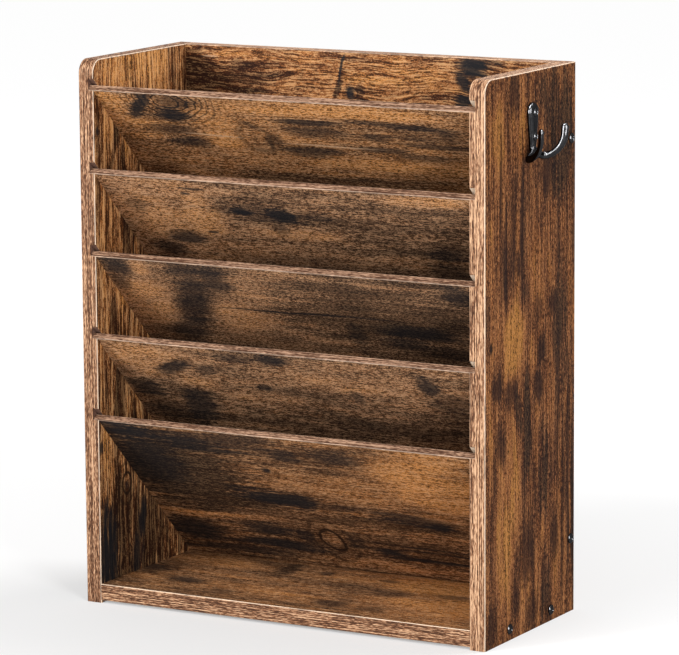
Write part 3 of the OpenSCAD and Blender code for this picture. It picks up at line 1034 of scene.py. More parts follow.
@dataclass(frozen=True)
class Hook:
    """The cast double coat hook. Sizes are in millimetres, as side, up and out from the side panel.

    The shares lay out a prong's middle line, as parts of half the span, of the rise and of the reach.
    """

    top_r: float = 7.0
    foot_r: float = 3.2
    plate_l: float = 25.0
    plate_t: float = 3.6
    edge_t: float = 1.6
    seat_t: float = 3.2
    seat_r: float = 3.1
    hole_r: float = 1.55
    screw_pitch: float = 16.7
    reach: float = 17.0
    span: float = 37.4
    rise: float = 19.5
    drop: float = 6.0
    root_r: float = 2.4
    tip_r: float = 2.9
    flatness: float = 0.64
    wall_gap: float = 0.3
    plane_turn: float = 0.8
    outline_points: int = 72
    ring_points: int = 28
    hole_points: int = 48
    drill_past: float = 2.0
    drill_back: float = 1.0
    steps: int = 9
    step_share: float = 0.02
    cap_rings: int = 6
    voxel: float = 0.3
    smooth_rounds: int = 7
    smooth_angle: float = 40.0
    crown: tuple[tuple[float, float], ...] = ((0.35, 0.32), (0.5, 0.28), (0.7, 0.22), (0.8, 0.12), (0.7, 0.06))
    shares: tuple[Triple, ...] = (
        (0.3, 0.1, 0.0),
        (0.66, 0.0, 0.06),
        (0.79, 0.06, 0.4),
        (0.88, 0.28, 0.75),
        (0.96, 0.6, 0.95),
        (1.0, 1.0, 1.0),
    )

    def plate(self) -> Piece:
        """Models the plate, with its back on the plane out = 0.

        It is a round top that tapers to a narrow foot, crowned by insets that each lift it by a share.
        """
        deselect_all()
        bpy.ops.mesh.primitive_circle_add(
            vertices=self.outline_points, radius=self.top_r * MM, fill_type="NGON",
            rotation=(math.pi / 2, 0, math.pi / 2),
        )
        plate = bpy.context.active_object
        settle(plate)
        open_below(plate, -0.001)
        share = self.foot_r / self.top_r
        bpy.ops.transform.resize(value=(1, share, share), center_override=(0, 0, 0))
        bpy.ops.transform.translate(value=(0, 0, -self.plate_l * MM))
        bpy.ops.mesh.select_all(action="SELECT")
        bpy.ops.mesh.extrude_region_move(TRANSFORM_OT_translate={"value": (self.edge_t * MM, 0, 0)})
        for inset, lift in self.crown:
            bpy.ops.mesh.inset(thickness=inset * MM)
            bpy.ops.transform.translate(value=((self.plate_t - self.edge_t) * lift * MM, 0, 0))
        turn_outwards(plate)
        return plate

    def path(self) -> list[Vector]:
        """The points of the prongs' middle line, from one tip through the root to the other."""
        root = Vector((0.0, -self.plate_l - self.foot_r / 3, self.root_r + self.wall_gap))
        low = -self.plate_l - self.drop
        side = [
            root + Vector((s * self.span / 2, u * self.rise + low - root.y, o * (self.reach - root.z)))
            for s, u, o in self.shares
        ]
        return [Vector((-p.x, p.y, p.z)) for p in reversed(side)] + [root] + side

    @staticmethod
    def on_path(path: list[Vector], place: float) -> Vector:
        """A point on the smooth curve through the path's points.

        Args:
            path: The points.
            place: Where on the curve, counted in points.

        Returns:
            The point.
        """
        i = min(int(place), len(path) - 2)
        f = place - i
        p1, p2 = path[i], path[i + 1]
        p0 = path[i - 1] if i > 0 else 2 * p1 - p2
        p3 = path[i + 2] if i + 2 < len(path) else 2 * p2 - p1
        return 0.5 * (
            2 * p1 + (p2 - p0) * f + (2 * p0 - 5 * p1 + 4 * p2 - p3) * f * f + (3 * p1 - p0 - 3 * p2 + p3) * f ** 3
        )

    def ring(self, centre: Vector, way: Vector, radius: float, share: float) -> list[Vector]:
        """An oval ring square to a direction, thin across the plane of its prong.

        Args:
            centre: The ring's middle.
            way: The direction that the ring is square to.
            radius: Half its width.
            share: From -1 at one tip to 1 at the other.

        Returns:
            The ring's points.
        """
        normal = Vector((share * (self.reach - self.root_r), 0.0, -self.span / 2 * self.plane_turn))
        side = way.cross(normal).normalized()
        up = side.cross(way) * self.flatness
        turns = [math.tau * k / self.ring_points for k in range(self.ring_points)]
        return [centre + radius * (math.cos(a) * side + math.sin(a) * up) for a in turns]

    def cap(self, end: Vector, out: Vector, side: int) -> tuple[list[list[Vector]], Vector]:
        """The dome on a prong's tip.

        Args:
            end: Where the prong's middle line ends.
            out: The way that the prong points there.
            side: -1 for the first tip and 1 for the last.

        Returns:
            The dome's rings and its top.
        """
        rings = []
        for step in range(1, self.cap_rings):
            angle = math.pi / 2 * step / self.cap_rings
            centre = end + out * self.tip_r * math.sin(angle)
            rings.append(self.ring(centre, out * side, self.tip_r * math.cos(angle), side))
        return rings, end + out * self.tip_r

    def prongs(self) -> Piece:
        """Models both prongs as one oval bar with domed tips, ring by ring."""
        path = self.path()
        last = len(path) - 1
        count = last * self.steps
        rings = []
        for step in range(count + 1):
            place = step / self.steps
            ahead = self.on_path(path, min(place + self.step_share, last))
            way = (ahead - self.on_path(path, max(place - self.step_share, 0))).normalized()
            share = 2 * step / count - 1
            radius = self.root_r + (self.tip_r - self.root_r) * abs(share)
            rings.append(self.ring(self.on_path(path, place), way, radius, share))
        caps = []
        for end, side in ((0, -1), (last, 1)):
            out = (path[end] - self.on_path(path, end - side * self.step_share)).normalized()
            caps.append(self.cap(path[end], out, side))
        rings = list(reversed(caps[0][0])) + rings + caps[1][0]
        shape = bmesh.new()
        loops = [[shape.verts.new(self.to_world(point)) for point in ring] for ring in rings]
        turns = [(k, (k + 1) % self.ring_points) for k in range(self.ring_points)]
        for low, high in zip(loops, loops[1:]):
            for this, following in turns:
                shape.faces.new((low[this], low[following], high[following], high[this]))
        for loop, tip in ((loops[0], caps[0][1]), (loops[-1], caps[1][1])):
            point = shape.verts.new(self.to_world(tip))
            for this, following in turns:
                shape.faces.new((loop[this], loop[following], point))
        mesh = bpy.data.meshes.new("prongs")
        shape.to_mesh(mesh)
        shape.free()
        made = add_piece("prongs", mesh)
        turn_outwards(made)
        return made

    @staticmethod
    def to_world(point: Vector) -> Vector:
        """Turns side, up and out in millimetres into the frame's axes in metres."""
        return Vector((point.z, point.x, point.y)) * MM

    def drill(self, casting: Piece, drop: float, radius: float, low: float) -> None:
        """Drills a round hole into the plate from its front.

        Args:
            casting: The hook.
            drop: How far the hole is below the upper screw.
            radius: The hole's radius.
            low: How far out its floor is.
        """
        high = self.plate_t + self.drill_past
        deselect_all()
        bpy.ops.mesh.primitive_cylinder_add(
            vertices=self.hole_points, radius=radius * MM, depth=(high - low) * MM,
            location=((low + high) / 2 * MM, 0, -drop * MM), rotation=(0, math.pi / 2, 0),
        )
        cutter = bpy.context.active_object
        settle(cutter)
        cut_away(casting, cutter)

    def build(self, name: str) -> Piece:
        """Models the whole hook, cast in one piece, with seats and holes for its screws.

        Args:
            name: The hook's name.

        Returns:
            The hook on the plane x = 0, with its upper screw at the origin.
        """
        casting = join_pieces([self.plate(), self.prongs()], name)
        run_modifier(casting, "REMESH", mode="VOXEL", voxel_size=self.voxel * MM, adaptivity=0.0)
        run_modifier(casting, "SMOOTH", factor=0.5, iterations=self.smooth_rounds)
        for drop in (0.0, self.screw_pitch):
            self.drill(casting, drop, self.seat_r, self.seat_t)
            self.drill(casting, drop, self.hole_r, -self.drill_back)
        smooth_faces(casting, self.smooth_angle)
        return casting


@dataclass
class Hardware:
    """All the hooks, screws and hanger plates."""

    enamel: bpy.types.Material = field(init=False)
    zinc: bpy.types.Material = field(init=False)
    board_screw: Screw = Screw(shank_d=4.0, length=35.0, head_d=7.4, head_h=2.2, tip_l=4.8, plain_l=4.0)
    hook_screw: Screw = Screw(
        shank_d=3.0, length=10.0, head_d=5.8, head_h=1.9, tip_l=3.0, plain_l=2.6, thread_pitch=1.2
    )
    hanger_screw: Screw = Screw(
        shank_d=3.0, length=9.0, head_d=5.8, head_h=1.5, tip_l=3.0, plain_l=0.6, thread_pitch=1.2, flat_head=True
    )
    hook: Hook = Hook()
    plate_bevel: float = 0.18
    plate_angle: float = 30.0
    glossy: list[Piece] = field(default_factory=list)

    def __post_init__(self) -> None:
        """Mixes the finishes."""
        self.enamel = BlackEnamel().build()
        self.zinc = ZincSteel().build()

    def place_screws(
        self, screw: Screw, node: str, places: list[Matrix], material: bpy.types.Material, slot: str
    ) -> Piece:
        """Puts copies of a screw in place of a node.

        Args:
            screw: The kind of screw.
            node: The node that holds these screws.
            places: Where the copies go.
            material: Their finish.
            slot: The record's material slot.

        Returns:
            The screws, joined.
        """
        first = screw.build("screw")
        copies = [copy_to(first, place, "screw") for place in places]
        bpy.data.objects.remove(first)
        whole = join_pieces(copies, "turned_" + node)
        finish_piece(whole, material, slot, node)
        return whole

    def side_screws(self, screw: Screw, node: str, upright: bool) -> None:
        """Puts two screws through each side panel in place of a node.

        Args:
            screw: The kind of screw.
            node: The node that holds these screws.
            upright: Whether the two are one above the other, and not one behind the other.
        """
        low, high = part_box(node)
        spread = UP if upright else REAR
        reach = (high - low).dot(spread) / 2 - screw.head_d / 2 * MM
        middle = (low + high) / 2
        middle.x = high.x - screw.head_h * MM
        places = []
        for side in (1, -1):
            for end in (-1, 1):
                spot = middle + spread * reach * end
                spot.x *= side
                places.append(Matrix.Translation(spot) @ Matrix.Rotation(side * math.pi / 2, 4, "Y"))
        self.glossy.append(self.place_screws(screw, node, places, self.enamel, "black_metal"))

    def hanger_screws(self) -> None:
        """Puts the countersunk screws into the hanger plates."""
        low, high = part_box("hanger_screws")
        inset = self.hanger_screw.head_d / 2 * MM
        places = [
            Matrix.Translation((x, high.y, z)) @ Matrix.Rotation(-math.pi / 2, 4, "X")
            for x in (low.x + inset, high.x - inset)
            for z in (low.z + inset, high.z - inset)
        ]
        self.place_screws(self.hanger_screw, "hanger_screws", places, self.zinc, "zinc_steel")

    def hanger_plates(self) -> None:
        """Rounds the edges of copies of the two hanger plates."""
        for node in ("left_hanger_plate", "right_hanger_plate"):
            plate = copy_to(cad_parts[node], Matrix.Identity(4), "pressed_" + node)
            open_mesh(plate)
            bpy.ops.mesh.remove_doubles(threshold=0.001 * MM)
            bpy.ops.mesh.dissolve_limited(angle_limit=math.radians(0.5))
            bpy.ops.object.mode_set(mode="OBJECT")
            run_modifier(
                plate, "BEVEL", width=self.plate_bevel * MM, segments=2, limit_method="ANGLE",
                angle_limit=math.radians(self.plate_angle),
            )
            smooth_faces(plate, self.plate_angle)
            finish_piece(plate, self.zinc, "zinc_steel", node)

    def hooks(self) -> None:
        """Puts a hook on each side panel."""
        right = self.hook.build("hook")
        for node, turn in (("right_hook", 0.0), ("left_hook", math.pi)):
            low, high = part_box(node)
            wall = low.x if turn == 0.0 else high.x
            place = Matrix.Translation((wall, 0, high.z - self.hook.top_r * MM)) @ Matrix.Rotation(turn, 4, "Z")
            cast = copy_to(right, place, "cast_" + node)
            smooth_faces(cast, self.hook.smooth_angle)
            finish_piece(cast, self.enamel, "black_metal", node)
            self.glossy.append(cast)
        bpy.data.objects.remove(right)

    def build(self) -> None:
        """Models and places all the hardware."""
        self.side_screws(self.board_screw, "bottom_panel_screws", upright=False)
        self.side_screws(self.board_screw, "back_panel_screws", upright=True)
        self.side_screws(self.hook_screw, "hook_screws", upright=True)
        self.hooks()
        self.hanger_plates()
        self.hanger_screws()


CHAR, UMBER, GLOW, PALE = Tint.CHAR, Tint.UMBER, Tint.GLOW, Tint.PALE

# Side panels: along is up from the floor, across is to the rear from the middle
LEFT_MARKS = (
    Mark(32, -60, 40, 15, 1.0),
    Mark(60, -60, 16, 10, 0.85),
    Mark(24, -20, 20, 9, 0.7),
    Mark(50, -12, 18, 6, 0.9, turn=8),
    Mark(30, -34, 26, 7, 0.6, UMBER),
    Mark(36, -20, 58, 60, 0.7, UMBER),
    Mark(100, -24, 40, 10, 0.4, UMBER),
    Mark(112, -66, 5, 3, 0.85),
    Mark(345, -66, 4, 2.5, 0.85),
    Mark(332, -42, 26, 4, 0.85, UMBER, 14),
    Mark(318, -30, 18, 4, 0.8, UMBER, -6),
    Mark(290, -24, 40, 8, 0.5, UMBER),
    Mark(206, -46, 18, 6, 0.5, UMBER),
    Mark(255, -28, 30, 7, 0.6, UMBER),
    Mark(160, -40, 50, 14, 0.5, UMBER),
    Mark(388, -16, 16, 60, 0.6, GLOW),
    Mark(350, -46, 34, 10, 0.5, GLOW),
    Mark(112, -60, 20, 8, 0.5, GLOW),
    Mark(82, -33, 6, 4, 0.5, GLOW),
    Mark(81, -33, 4, 2.5, 0.7),
)
LEFT_KNOTS = (
    Knot(82, -33, 8, 6, 1.0, 1.0, reach=4.0, hollow=0.7),
    Knot(28, -30, 14, 6, 0.7, 2.0),
    Knot(392, -20, 26, 9, 0.5, 3.0),
)
RIGHT_MARKS = (
    Mark(182, -52, 12, 9, 0.75),
    Mark(174, -30, 12, 12, 0.6),
    Mark(160, -18, 20, 8, 0.5, UMBER, -20),
    Mark(148, -5, 34, 7, 0.8, UMBER),
    Mark(172, 14, 14, 7, 0.85),
    Mark(198, 17, 14, 6, 0.85),
    Mark(229, 34, 10, 8, 0.75),
    Mark(228, 12, 12, 8, 0.5),
    Mark(140, -46, 16, 10, 0.6),
    Mark(120, -56, 20, 4, 0.4),
    Mark(272, -38, 42, 3.2, 0.75),
    Mark(285, -14, 62, 3.2, 0.85),
    Mark(285, -27, 46, 5, 0.65),
    Mark(262, -19, 14, 5, 0.85),
    Mark(322, -46, 42, 3, 0.7),
    Mark(310, -3, 30, 3, 0.5),
    Mark(60, -6, 28, 15, 0.65),
    Mark(28, -24, 14, 8, 0.4),
    Mark(62, 38, 24, 7, 0.85),
    Mark(100, 60, 80, 3.5, 0.8),
    Mark(90, 67, 80, 3, 0.9),
    Mark(60, 51, 70, 3, 0.6),
    Mark(160, 44, 60, 4, 0.5),
    Mark(12, -60, 20, 9, 0.7),
    Mark(14, 4, 16, 12, 0.55),
    Mark(30, 22, 30, 8, 0.5, UMBER),
    Mark(110, 20, 40, 8, 0.5, UMBER),
    Mark(324, 25, 20, 14, 0.7),
    Mark(372, 32, 28, 22, 0.6, UMBER),
    Mark(380, -26, 18, 9, 0.7),
    Mark(345, 48, 50, 18, 0.6, UMBER),
    Mark(200, 48, 50, 12, 0.45, UMBER),
    Mark(212, -26, 30, 20, 0.8, GLOW),
    Mark(216, -48, 20, 8, 0.5, GLOW),
    Mark(66, -42, 60, 14, 0.9, GLOW),
    Mark(112, -28, 44, 12, 0.75, GLOW),
    Mark(30, -8, 30, 9, 0.4, GLOW),
    Mark(356, -50, 34, 9, 0.7, GLOW),
    Mark(352, -14, 22, 6, 0.7, GLOW),
    Mark(255, 8, 34, 10, 0.45, GLOW),
    Mark(198, 4, 14, 8, 0.5, GLOW),
    Mark(160, -60, 60, 6, 0.5, GLOW),
)
RIGHT_KNOTS = (
    Knot(210, -61, 13, 7, 1.0, 0.5, reach=1.4),
    Knot(130, 50, 80, 14, 0.5, 4.0, reach=1.3),
)

# Back panel: along is to the right from the middle, across is up from the floor
BACK_MARKS = (
    Mark(-140, 372, 22, 30, 0.55, UMBER),
    Mark(-110, 370, 34, 16, 0.4, UMBER),
    Mark(-128, 387, 8, 0.8, 0.5, PALE),
    Mark(-19, 384, 16, 1.2, 0.9, turn=80),
    Mark(-22, 368, 14, 3, 0.7, UMBER, 72),
    Mark(-11, 365, 4.5, 5, 0.95, turn=30),
    Mark(-3, 362, 4, 12, 0.6, UMBER),
    Mark(89, 389, 14, 9, 1.0),
    Mark(80, 377, 6, 11, 0.95, turn=12),
    Mark(79, 363, 8, 7, 0.95, turn=-20),
    Mark(98, 393, 15, 5, 0.6),
    Mark(40, 378, 50, 12, 0.4, GLOW),
    Mark(-60, 388, 40, 6, 0.3, GLOW),
    Mark(60, 250, 90, 30, 0.4, UMBER),
    Mark(-40, 190, 60, 14, 0.5),
    Mark(90, 120, 30, 12, 0.6),
    Mark(-90, 90, 50, 16, 0.4, UMBER),
    Mark(20, 60, 80, 10, 0.4, GLOW),
)
BACK_KNOTS = (
    Knot(-9, 365, 8, 8, 0.7, 2.0),
    Knot(20, 372, 56, 26, 0.3, 7.0),
    Knot(-75, 378, 60, 20, 0.25, 5.0),
    Knot(40, 190, 14, 9, 0.9, 3.0),
)

# Bottom panel: along is to the right from the middle, across is to the rear from the middle
BOTTOM_MARKS = (
    Mark(-100, -30, 22, 9, 0.75),
    Mark(-142, -8, 18, 14, 0.65),
    Mark(-52, 34, 9, 22, 0.5, UMBER),
    Mark(-20, 32, 6, 6, 0.6),
    Mark(31, 33, 10, 5, 0.55),
    Mark(50, 2, 16, 12, 0.45),
    Mark(97, 8, 18, 8, 0.5),
    Mark(28, -46, 16, 13, 0.5),
    Mark(62, -48, 14, 10, 0.4),
    Mark(100, -20, 60, 50, 0.6, GLOW),
    Mark(-60, -50, 14, 8, 0.4),
    Mark(-108, 34, 38, 18, 0.55, GLOW),
    Mark(74, 32, 50, 24, 1.3, GLOW),
    Mark(-20, -38, 40, 10, 0.3, GLOW),
    Mark(110, -20, 40, 20, 0.35, GLOW),
)

# Dividers from the top one down: along is to the right from the middle, across is down the slope
FIRST_MARKS = (
    Mark(-117, 13, 22, 6, 0.9, turn=-50),
    Mark(-93, 24, 16, 11, 0.9),
    Mark(-86, 8, 16, 8, 0.6),
    Mark(-102, 40, 24, 9, 0.5),
    Mark(-92, 54, 20, 7, 0.65),
    Mark(-34, 31, 10, 3.5, 0.4, turn=40),
    Mark(-26, 47, 12, 3, 0.5, turn=100),
    Mark(-20, 46, 6, 9, 0.5),
    Mark(14, 24, 30, 4, 0.8),
    Mark(14, 34, 28, 7, 0.6),
    Mark(2, 58, 26, 8, 0.65),
    Mark(92, 21, 46, 4, 0.7, turn=4),
    Mark(100, 32, 30, 6, 0.4),
    Mark(125, 30, 12, 6, 0.5),
    Mark(66, 36, 12, 7, 0.5),
    Mark(104, 42, 38, 4, 0.65, turn=3),
    Mark(66, 50, 28, 4, 0.65),
    Mark(95, 57, 30, 4, 0.5),
    Mark(0, 92, 90, 8, 0.35, UMBER),
    Mark(-66, 44.5, 26, 0.8, 0.6, PALE, 1),
    Mark(26, 49, 38, 0.9, 0.65, PALE, 1),
    Mark(10, 8, 76, 9, 0.75, GLOW),
    Mark(-62, 50, 20, 16, 0.7, GLOW),
    Mark(-60, 26, 20, 12, 0.4, GLOW),
    Mark(60, 68, 70, 8, 0.5, GLOW),
    Mark(-142, 12, 12, 18, 0.6, GLOW),
    Mark(-130, 40, 20, 16, 0.5, GLOW),
    Mark(80, 10, 60, 6, 0.45, GLOW),
)
FIRST_KNOTS = (
    Knot(-93, 8, 42, 32, 0.95, 8.0, reach=1.5, hollow=0.2),
    Knot(-122, 52, 44, 30, 0.55, 9.0, reach=1.2),
    Knot(-36, 45, 12, 17, 0.6, 1.0, reach=2.0, hollow=0.7),
)
SECOND_MARKS = (
    Mark(-44, 34, 13, 8, 0.98),
    Mark(-14, 35, 17, 10, 1.0),
    Mark(-28, 36, 44, 14, 0.55),
    Mark(12, 33, 20, 7, 0.5),
    Mark(-20, 50, 8, 13, 0.5),
    Mark(-130, 33, 10, 10, 0.35),
    Mark(-105, 71, 18, 9, 0.8),
    Mark(-124, 86, 16, 11, 0.65),
    Mark(-74, 10, 12, 2, 0.65),
    Mark(-83, 16, 4, 1.6, 0.85),
    Mark(-78, 61, 4, 1.6, 0.85),
    Mark(84, 40, 64, 40, 0.32, UMBER),
    Mark(108, 70, 16, 9, 0.6),
    Mark(103, 90, 20, 13, 0.55),
    Mark(-10, 90, 90, 10, 0.3),
    Mark(-80, 38, 20, 28, 0.85, GLOW),
    Mark(-122, 44, 36, 34, 0.65, GLOW),
    Mark(-110, 12, 50, 14, 0.5, GLOW),
    Mark(112, 6, 42, 8, 0.75, GLOW),
    Mark(0, 58, 40, 7, 0.6, GLOW),
    Mark(60, 60, 60, 12, 0.25, GLOW),
    Mark(-100, 84, 60, 14, 0.3, GLOW),
)
THIRD_MARKS = (
    Mark(-138, 10, 13, 15, 0.8),
    Mark(-143, 30, 8, 14, 0.5),
    Mark(-88, 46, 58, 17, 0.75, turn=114),
    Mark(-62, 18, 16, 18, 0.75),
    Mark(-82, 10, 14, 12, 0.6),
    Mark(-108, 86, 16, 14, 0.65),
    Mark(10, 51, 64, 1.1, 0.85),
    Mark(-40, 52, 34, 1.0, 0.85),
    Mark(74, 50, 96, 46, 0.42, UMBER),
    Mark(88, 66, 36, 10, 0.7),
    Mark(74, 77, 24, 10, 0.6),
    Mark(34, 74, 8, 18, 0.4),
    Mark(134, 12, 14, 13, 0.65),
    Mark(108, 86, 24, 12, 0.55),
    Mark(-130, 50, 28, 30, 0.85, GLOW),
    Mark(-55, 62, 28, 26, 0.6, GLOW),
    Mark(-119, 10, 9, 14, 0.6, GLOW),
    Mark(-44, 34, 26, 12, 0.4, GLOW),
    Mark(10, 30, 60, 12, 0.2, GLOW),
)
FOURTH_MARKS = (
    Mark(-98, 28, 20, 8, 0.85, turn=-30),
    Mark(-136, 60, 18, 13, 0.75),
    Mark(-124, 86, 26, 18, 0.5),
    Mark(-98, 78, 28, 15, 0.8, turn=114),
    Mark(-72, 30, 8, 8, 0.5),
    Mark(-10, 7, 14, 8, 0.75),
    Mark(-42, 10, 16, 7, 0.4),
    Mark(-30, 43, 6, 6, 0.6),
    Mark(110, 24, 9, 13, 0.8),
    Mark(122, 45, 20, 16, 0.45),
    Mark(45, 46, 6, 10, 0.5),
    Mark(70, 82, 84, 16, 0.35, UMBER),
    Mark(-20, 92, 80, 12, 0.12, UMBER),
    Mark(-122, 18, 40, 22, 0.8, GLOW),
    Mark(-84, 48, 20, 10, 0.6, GLOW),
    Mark(50, 30, 60, 14, 0.4, GLOW),
    Mark(-30, 58, 40, 7, 0.45, GLOW),
    Mark(30, 10, 40, 8, 0.3, GLOW),
)
FOURTH_KNOTS = (Knot(-100, 72, 10, 17, 0.5, 2.5), Knot(-20, 76, 60, 18, 0.35, 6.0))
FIFTH_MARKS = (
    Mark(-136, 10, 30, 16, 0.9),
    Mark(-100, 14, 50, 7, 0.7),
    Mark(-70, 23, 50, 4, 0.65),
    Mark(-40, 17, 34, 4, 0.65),
    Mark(-130, 46, 34, 40, 0.65),
    Mark(-112, 55, 66, 56, 0.9, UMBER),
    Mark(-60, 8, 60, 8, 0.5),
    Mark(-8, 22, 14, 8, 0.65),
    Mark(36, 18, 26, 9, 0.55),
    Mark(-31, 44, 4.5, 5, 0.9),
    Mark(-36, 82, 38, 11, 1.0, turn=3),
    Mark(-18, 86, 14, 9, 0.95),
    Mark(-50, 82, 14, 8, 0.9),
    Mark(10, 88, 22, 6, 0.5),
    Mark(90, 98, 17, 6, 1.0),
    Mark(70, 93, 40, 9, 0.75, turn=6),
    Mark(-80, 92, 60, 12, 0.5, UMBER),
    Mark(-10, 104, 140, 8, 0.35, UMBER),
    Mark(34, 143, 18, 5, 1.0),
    Mark(-32, 132, 9, 10, 0.6),
    Mark(10, 132, 8, 12, 0.4),
    Mark(-66, 128, 32, 8, 0.8),
    Mark(-60, 148, 46, 8, 0.85),
    Mark(-128, 142, 30, 18, 0.9),
    Mark(-100, 162, 60, 8, 0.6),
    Mark(70, 132, 44, 1.4, 0.8),
    Mark(80, 137, 40, 1.2, 0.7),
    Mark(72, 149, 50, 2.6, 0.9),
    Mark(110, 156, 36, 2.2, 0.7),
    Mark(60, 138, 60, 18, 0.3, UMBER),
    Mark(-30, 148, 100, 22, 0.3, UMBER),
    Mark(108, 42, 50, 44, 1.0, GLOW),
    Mark(50, 62, 70, 20, 0.45, GLOW),
    Mark(-112, 116, 44, 6, 0.75, GLOW),
    Mark(-9, 133, 6, 11, 0.3, GLOW),
    Mark(-60, 31, 60, 2.5, 0.5, GLOW),
    Mark(0, 162, 80, 6, 0.5, GLOW),
)
FIFTH_KNOTS = (
    Knot(-10, 134, 8.5, 14, 1.0, 1.0, reach=3.8, hollow=0.7),
    Knot(-10, 134, 20, 24, 0.5, 4.0, reach=1.5, hollow=0.8),
    Knot(40, 10, 50, 24, 0.35, 6.0),
)


@dataclass(frozen=True)
class DividerLook:
    """What sets one divider's print apart from the others."""

    palette: Palette
    marks: tuple[Mark, ...]
    knots: tuple[Knot, ...]
    tone: float
    line_swing: float
    speckle: float
    fibre_length: float


@dataclass
class Boards:
    """The printed boards and dividers and their edge bands, in millimetres and degrees."""

    slope: float = 44.0
    divider_t: float = 5.0
    groove_depth: float = 4.5
    groove_start: float = 0.05
    groove_play: float = 0.3
    divider_looks: tuple[DividerLook, ...] = (
        DividerLook(HONEY, FIRST_MARKS, FIRST_KNOTS, 0.58, 1.0, 1.7, 4.0),
        DividerLook(SMOKED, SECOND_MARKS, (), 0.53, 0.6, 1.9, 3.2),
        DividerLook(SMOKED, THIRD_MARKS, (), 0.48, 0.7, 1.9, 3.2),
        DividerLook(SMOKED, FOURTH_MARKS, FOURTH_KNOTS, 0.48, 0.6, 1.9, 3.2),
        DividerLook(HONEY, FIFTH_MARKS, FIFTH_KNOTS, 0.46, 0.95, 1.4, 5.0),
    )

    def paint(self, node: str, finish: RusticPrint | BandPrint) -> None:
        """Gives a CAD node its printed finish.

        Args:
            node: The node's name.
            finish: The print of a board or of an edge band.
        """
        material = finish.build()
        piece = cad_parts[node]
        piece.data.materials.clear()
        piece.data.materials.append(material)
        LOG.info("%s is painted with %s", node, material.name)

    def divider_lay(self, band: str) -> Lay:
        """How a divider lies: across runs down the slope from its front edge.

        Args:
            band: The divider's edge band, whose lowest front corner is the start of the slope.

        Returns:
            The lay.
        """
        low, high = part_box(band)
        angle = math.radians(self.slope)
        start_z = high.z / MM - self.divider_t * math.cos(angle)
        across = Vector((0, math.cos(angle), -math.sin(angle)))
        through = Vector((0, math.sin(angle), math.cos(angle)))
        return Lay(Vector((0, low.y / MM, start_z)), RIGHT, across, through)

    def side_panels(self) -> None:
        """Paints the two side panels; their grooves start at the bottom panel's ends."""
        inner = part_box("bottom_panel")[1].x / MM
        near = inner + self.groove_start
        far = inner + self.groove_depth + self.groove_play
        lay = Lay(ORIGIN, UP, REAR, RIGHT)
        left = RusticPrint(
            "left_side_print", lay, 1.0, RUSSET, LEFT_MARKS, LEFT_KNOTS, tone=0.56, tone_swing=1.2,
            line_swing=2.2, speckle=1.4, grain_wave=10.0, line_length=70.0, line_width=2.0, fibre_length=7.0,
            # The left panel's groove walls get a dark brown instead of the cream core: painted shade in the narrow
            # groove.
            groove=srgb(112, 84, 72), groove_side=(-far, -near),
        )
        right = RusticPrint(
            "right_side_print", lay, 2.0, OLIVE, RIGHT_MARKS, RIGHT_KNOTS, tone=0.46, tone_swing=1.1,
            line_swing=1.4, speckle=1.6, grain_wave=6.0, line_length=48.0, line_width=1.3, gloss=0.03,
            char_tint=srgb(112, 90, 82), char_colour=srgb(40, 26, 20),
            groove=srgb(226, 204, 180), groove_side=(near, far),
        )
        self.paint("left_side_panel", left)
        self.paint("right_side_panel", right)

    def flat_panels(self) -> None:
        """Paints the back panel and the bottom panel."""
        back = RusticPrint(
            "back_print", Lay(ORIGIN, RIGHT, UP, REAR), 3.0, RUSSET, BACK_MARKS, BACK_KNOTS, tone=0.54,
            tone_swing=0.8, line_swing=1.7, speckle=1.3, grain_wave=16.0, line_length=26.0, line_width=1.3,
            fibre_length=5.0,
        )
        bottom = RusticPrint(
            "bottom_print", Lay(ORIGIN, RIGHT, REAR, UP), 4.0, HONEY, BOTTOM_MARKS, tone=0.5, tone_swing=0.8,
            line_swing=0.9, speckle=1.3, fibre_length=6.0,
        )
        self.paint("back_panel", back)
        self.paint("bottom_panel", bottom)

    def dividers(self) -> None:
        """Paints the dividers and their edge bands."""
        for number, look in enumerate(self.divider_looks, start=1):
            lay = self.divider_lay(f"divider_{number}_edge_band")
            board = RusticPrint(
                f"divider_{number}_print", lay, 5.0 + number, look.palette, look.marks, look.knots,
                tone=look.tone, tone_swing=0.9, line_swing=look.line_swing, speckle=look.speckle,
                grain_wave=5.0, fibre_length=look.fibre_length,
            )
            self.paint(f"divider_{number}", board)
            band = BandPrint(
                f"divider_{number}_band_print", Lay(lay.origin, lay.along, lay.through, lay.across), 11.0 + number,
                base=srgb(110, 79, 60), light=srgb(180, 142, 115), near_bevel=0.35,
            )
            self.paint(f"divider_{number}_edge_band", band)

    def bands(self) -> None:
        """Paints the edge bands of the side, back and bottom panels."""
        folded = Lay(ORIGIN, UP - REAR, RIGHT, REAR)
        # The left band's print is a darker copy of the other bands, by its lower tone: painted shade.
        left = BandPrint("left_band_print", folded, 20.0, tone=-0.25)
        right = BandPrint("right_band_print", folded, 21.0)
        back = BandPrint("back_band_print", Lay(ORIGIN, RIGHT, REAR, UP), 22.0)
        bottom = BandPrint("bottom_band_print", Lay(ORIGIN, RIGHT, UP, REAR), 23.0, tone=-0.2)
        self.paint("left_side_edge_band", left)
        self.paint("right_side_edge_band", right)
        self.paint("back_panel_edge_band", back)
        self.paint("bottom_panel_edge_band", bottom)

    def build(self) -> None:
        """Paints every board, divider and band."""
        self.side_panels()
        self.flat_panels()
        self.dividers()
        self.bands()


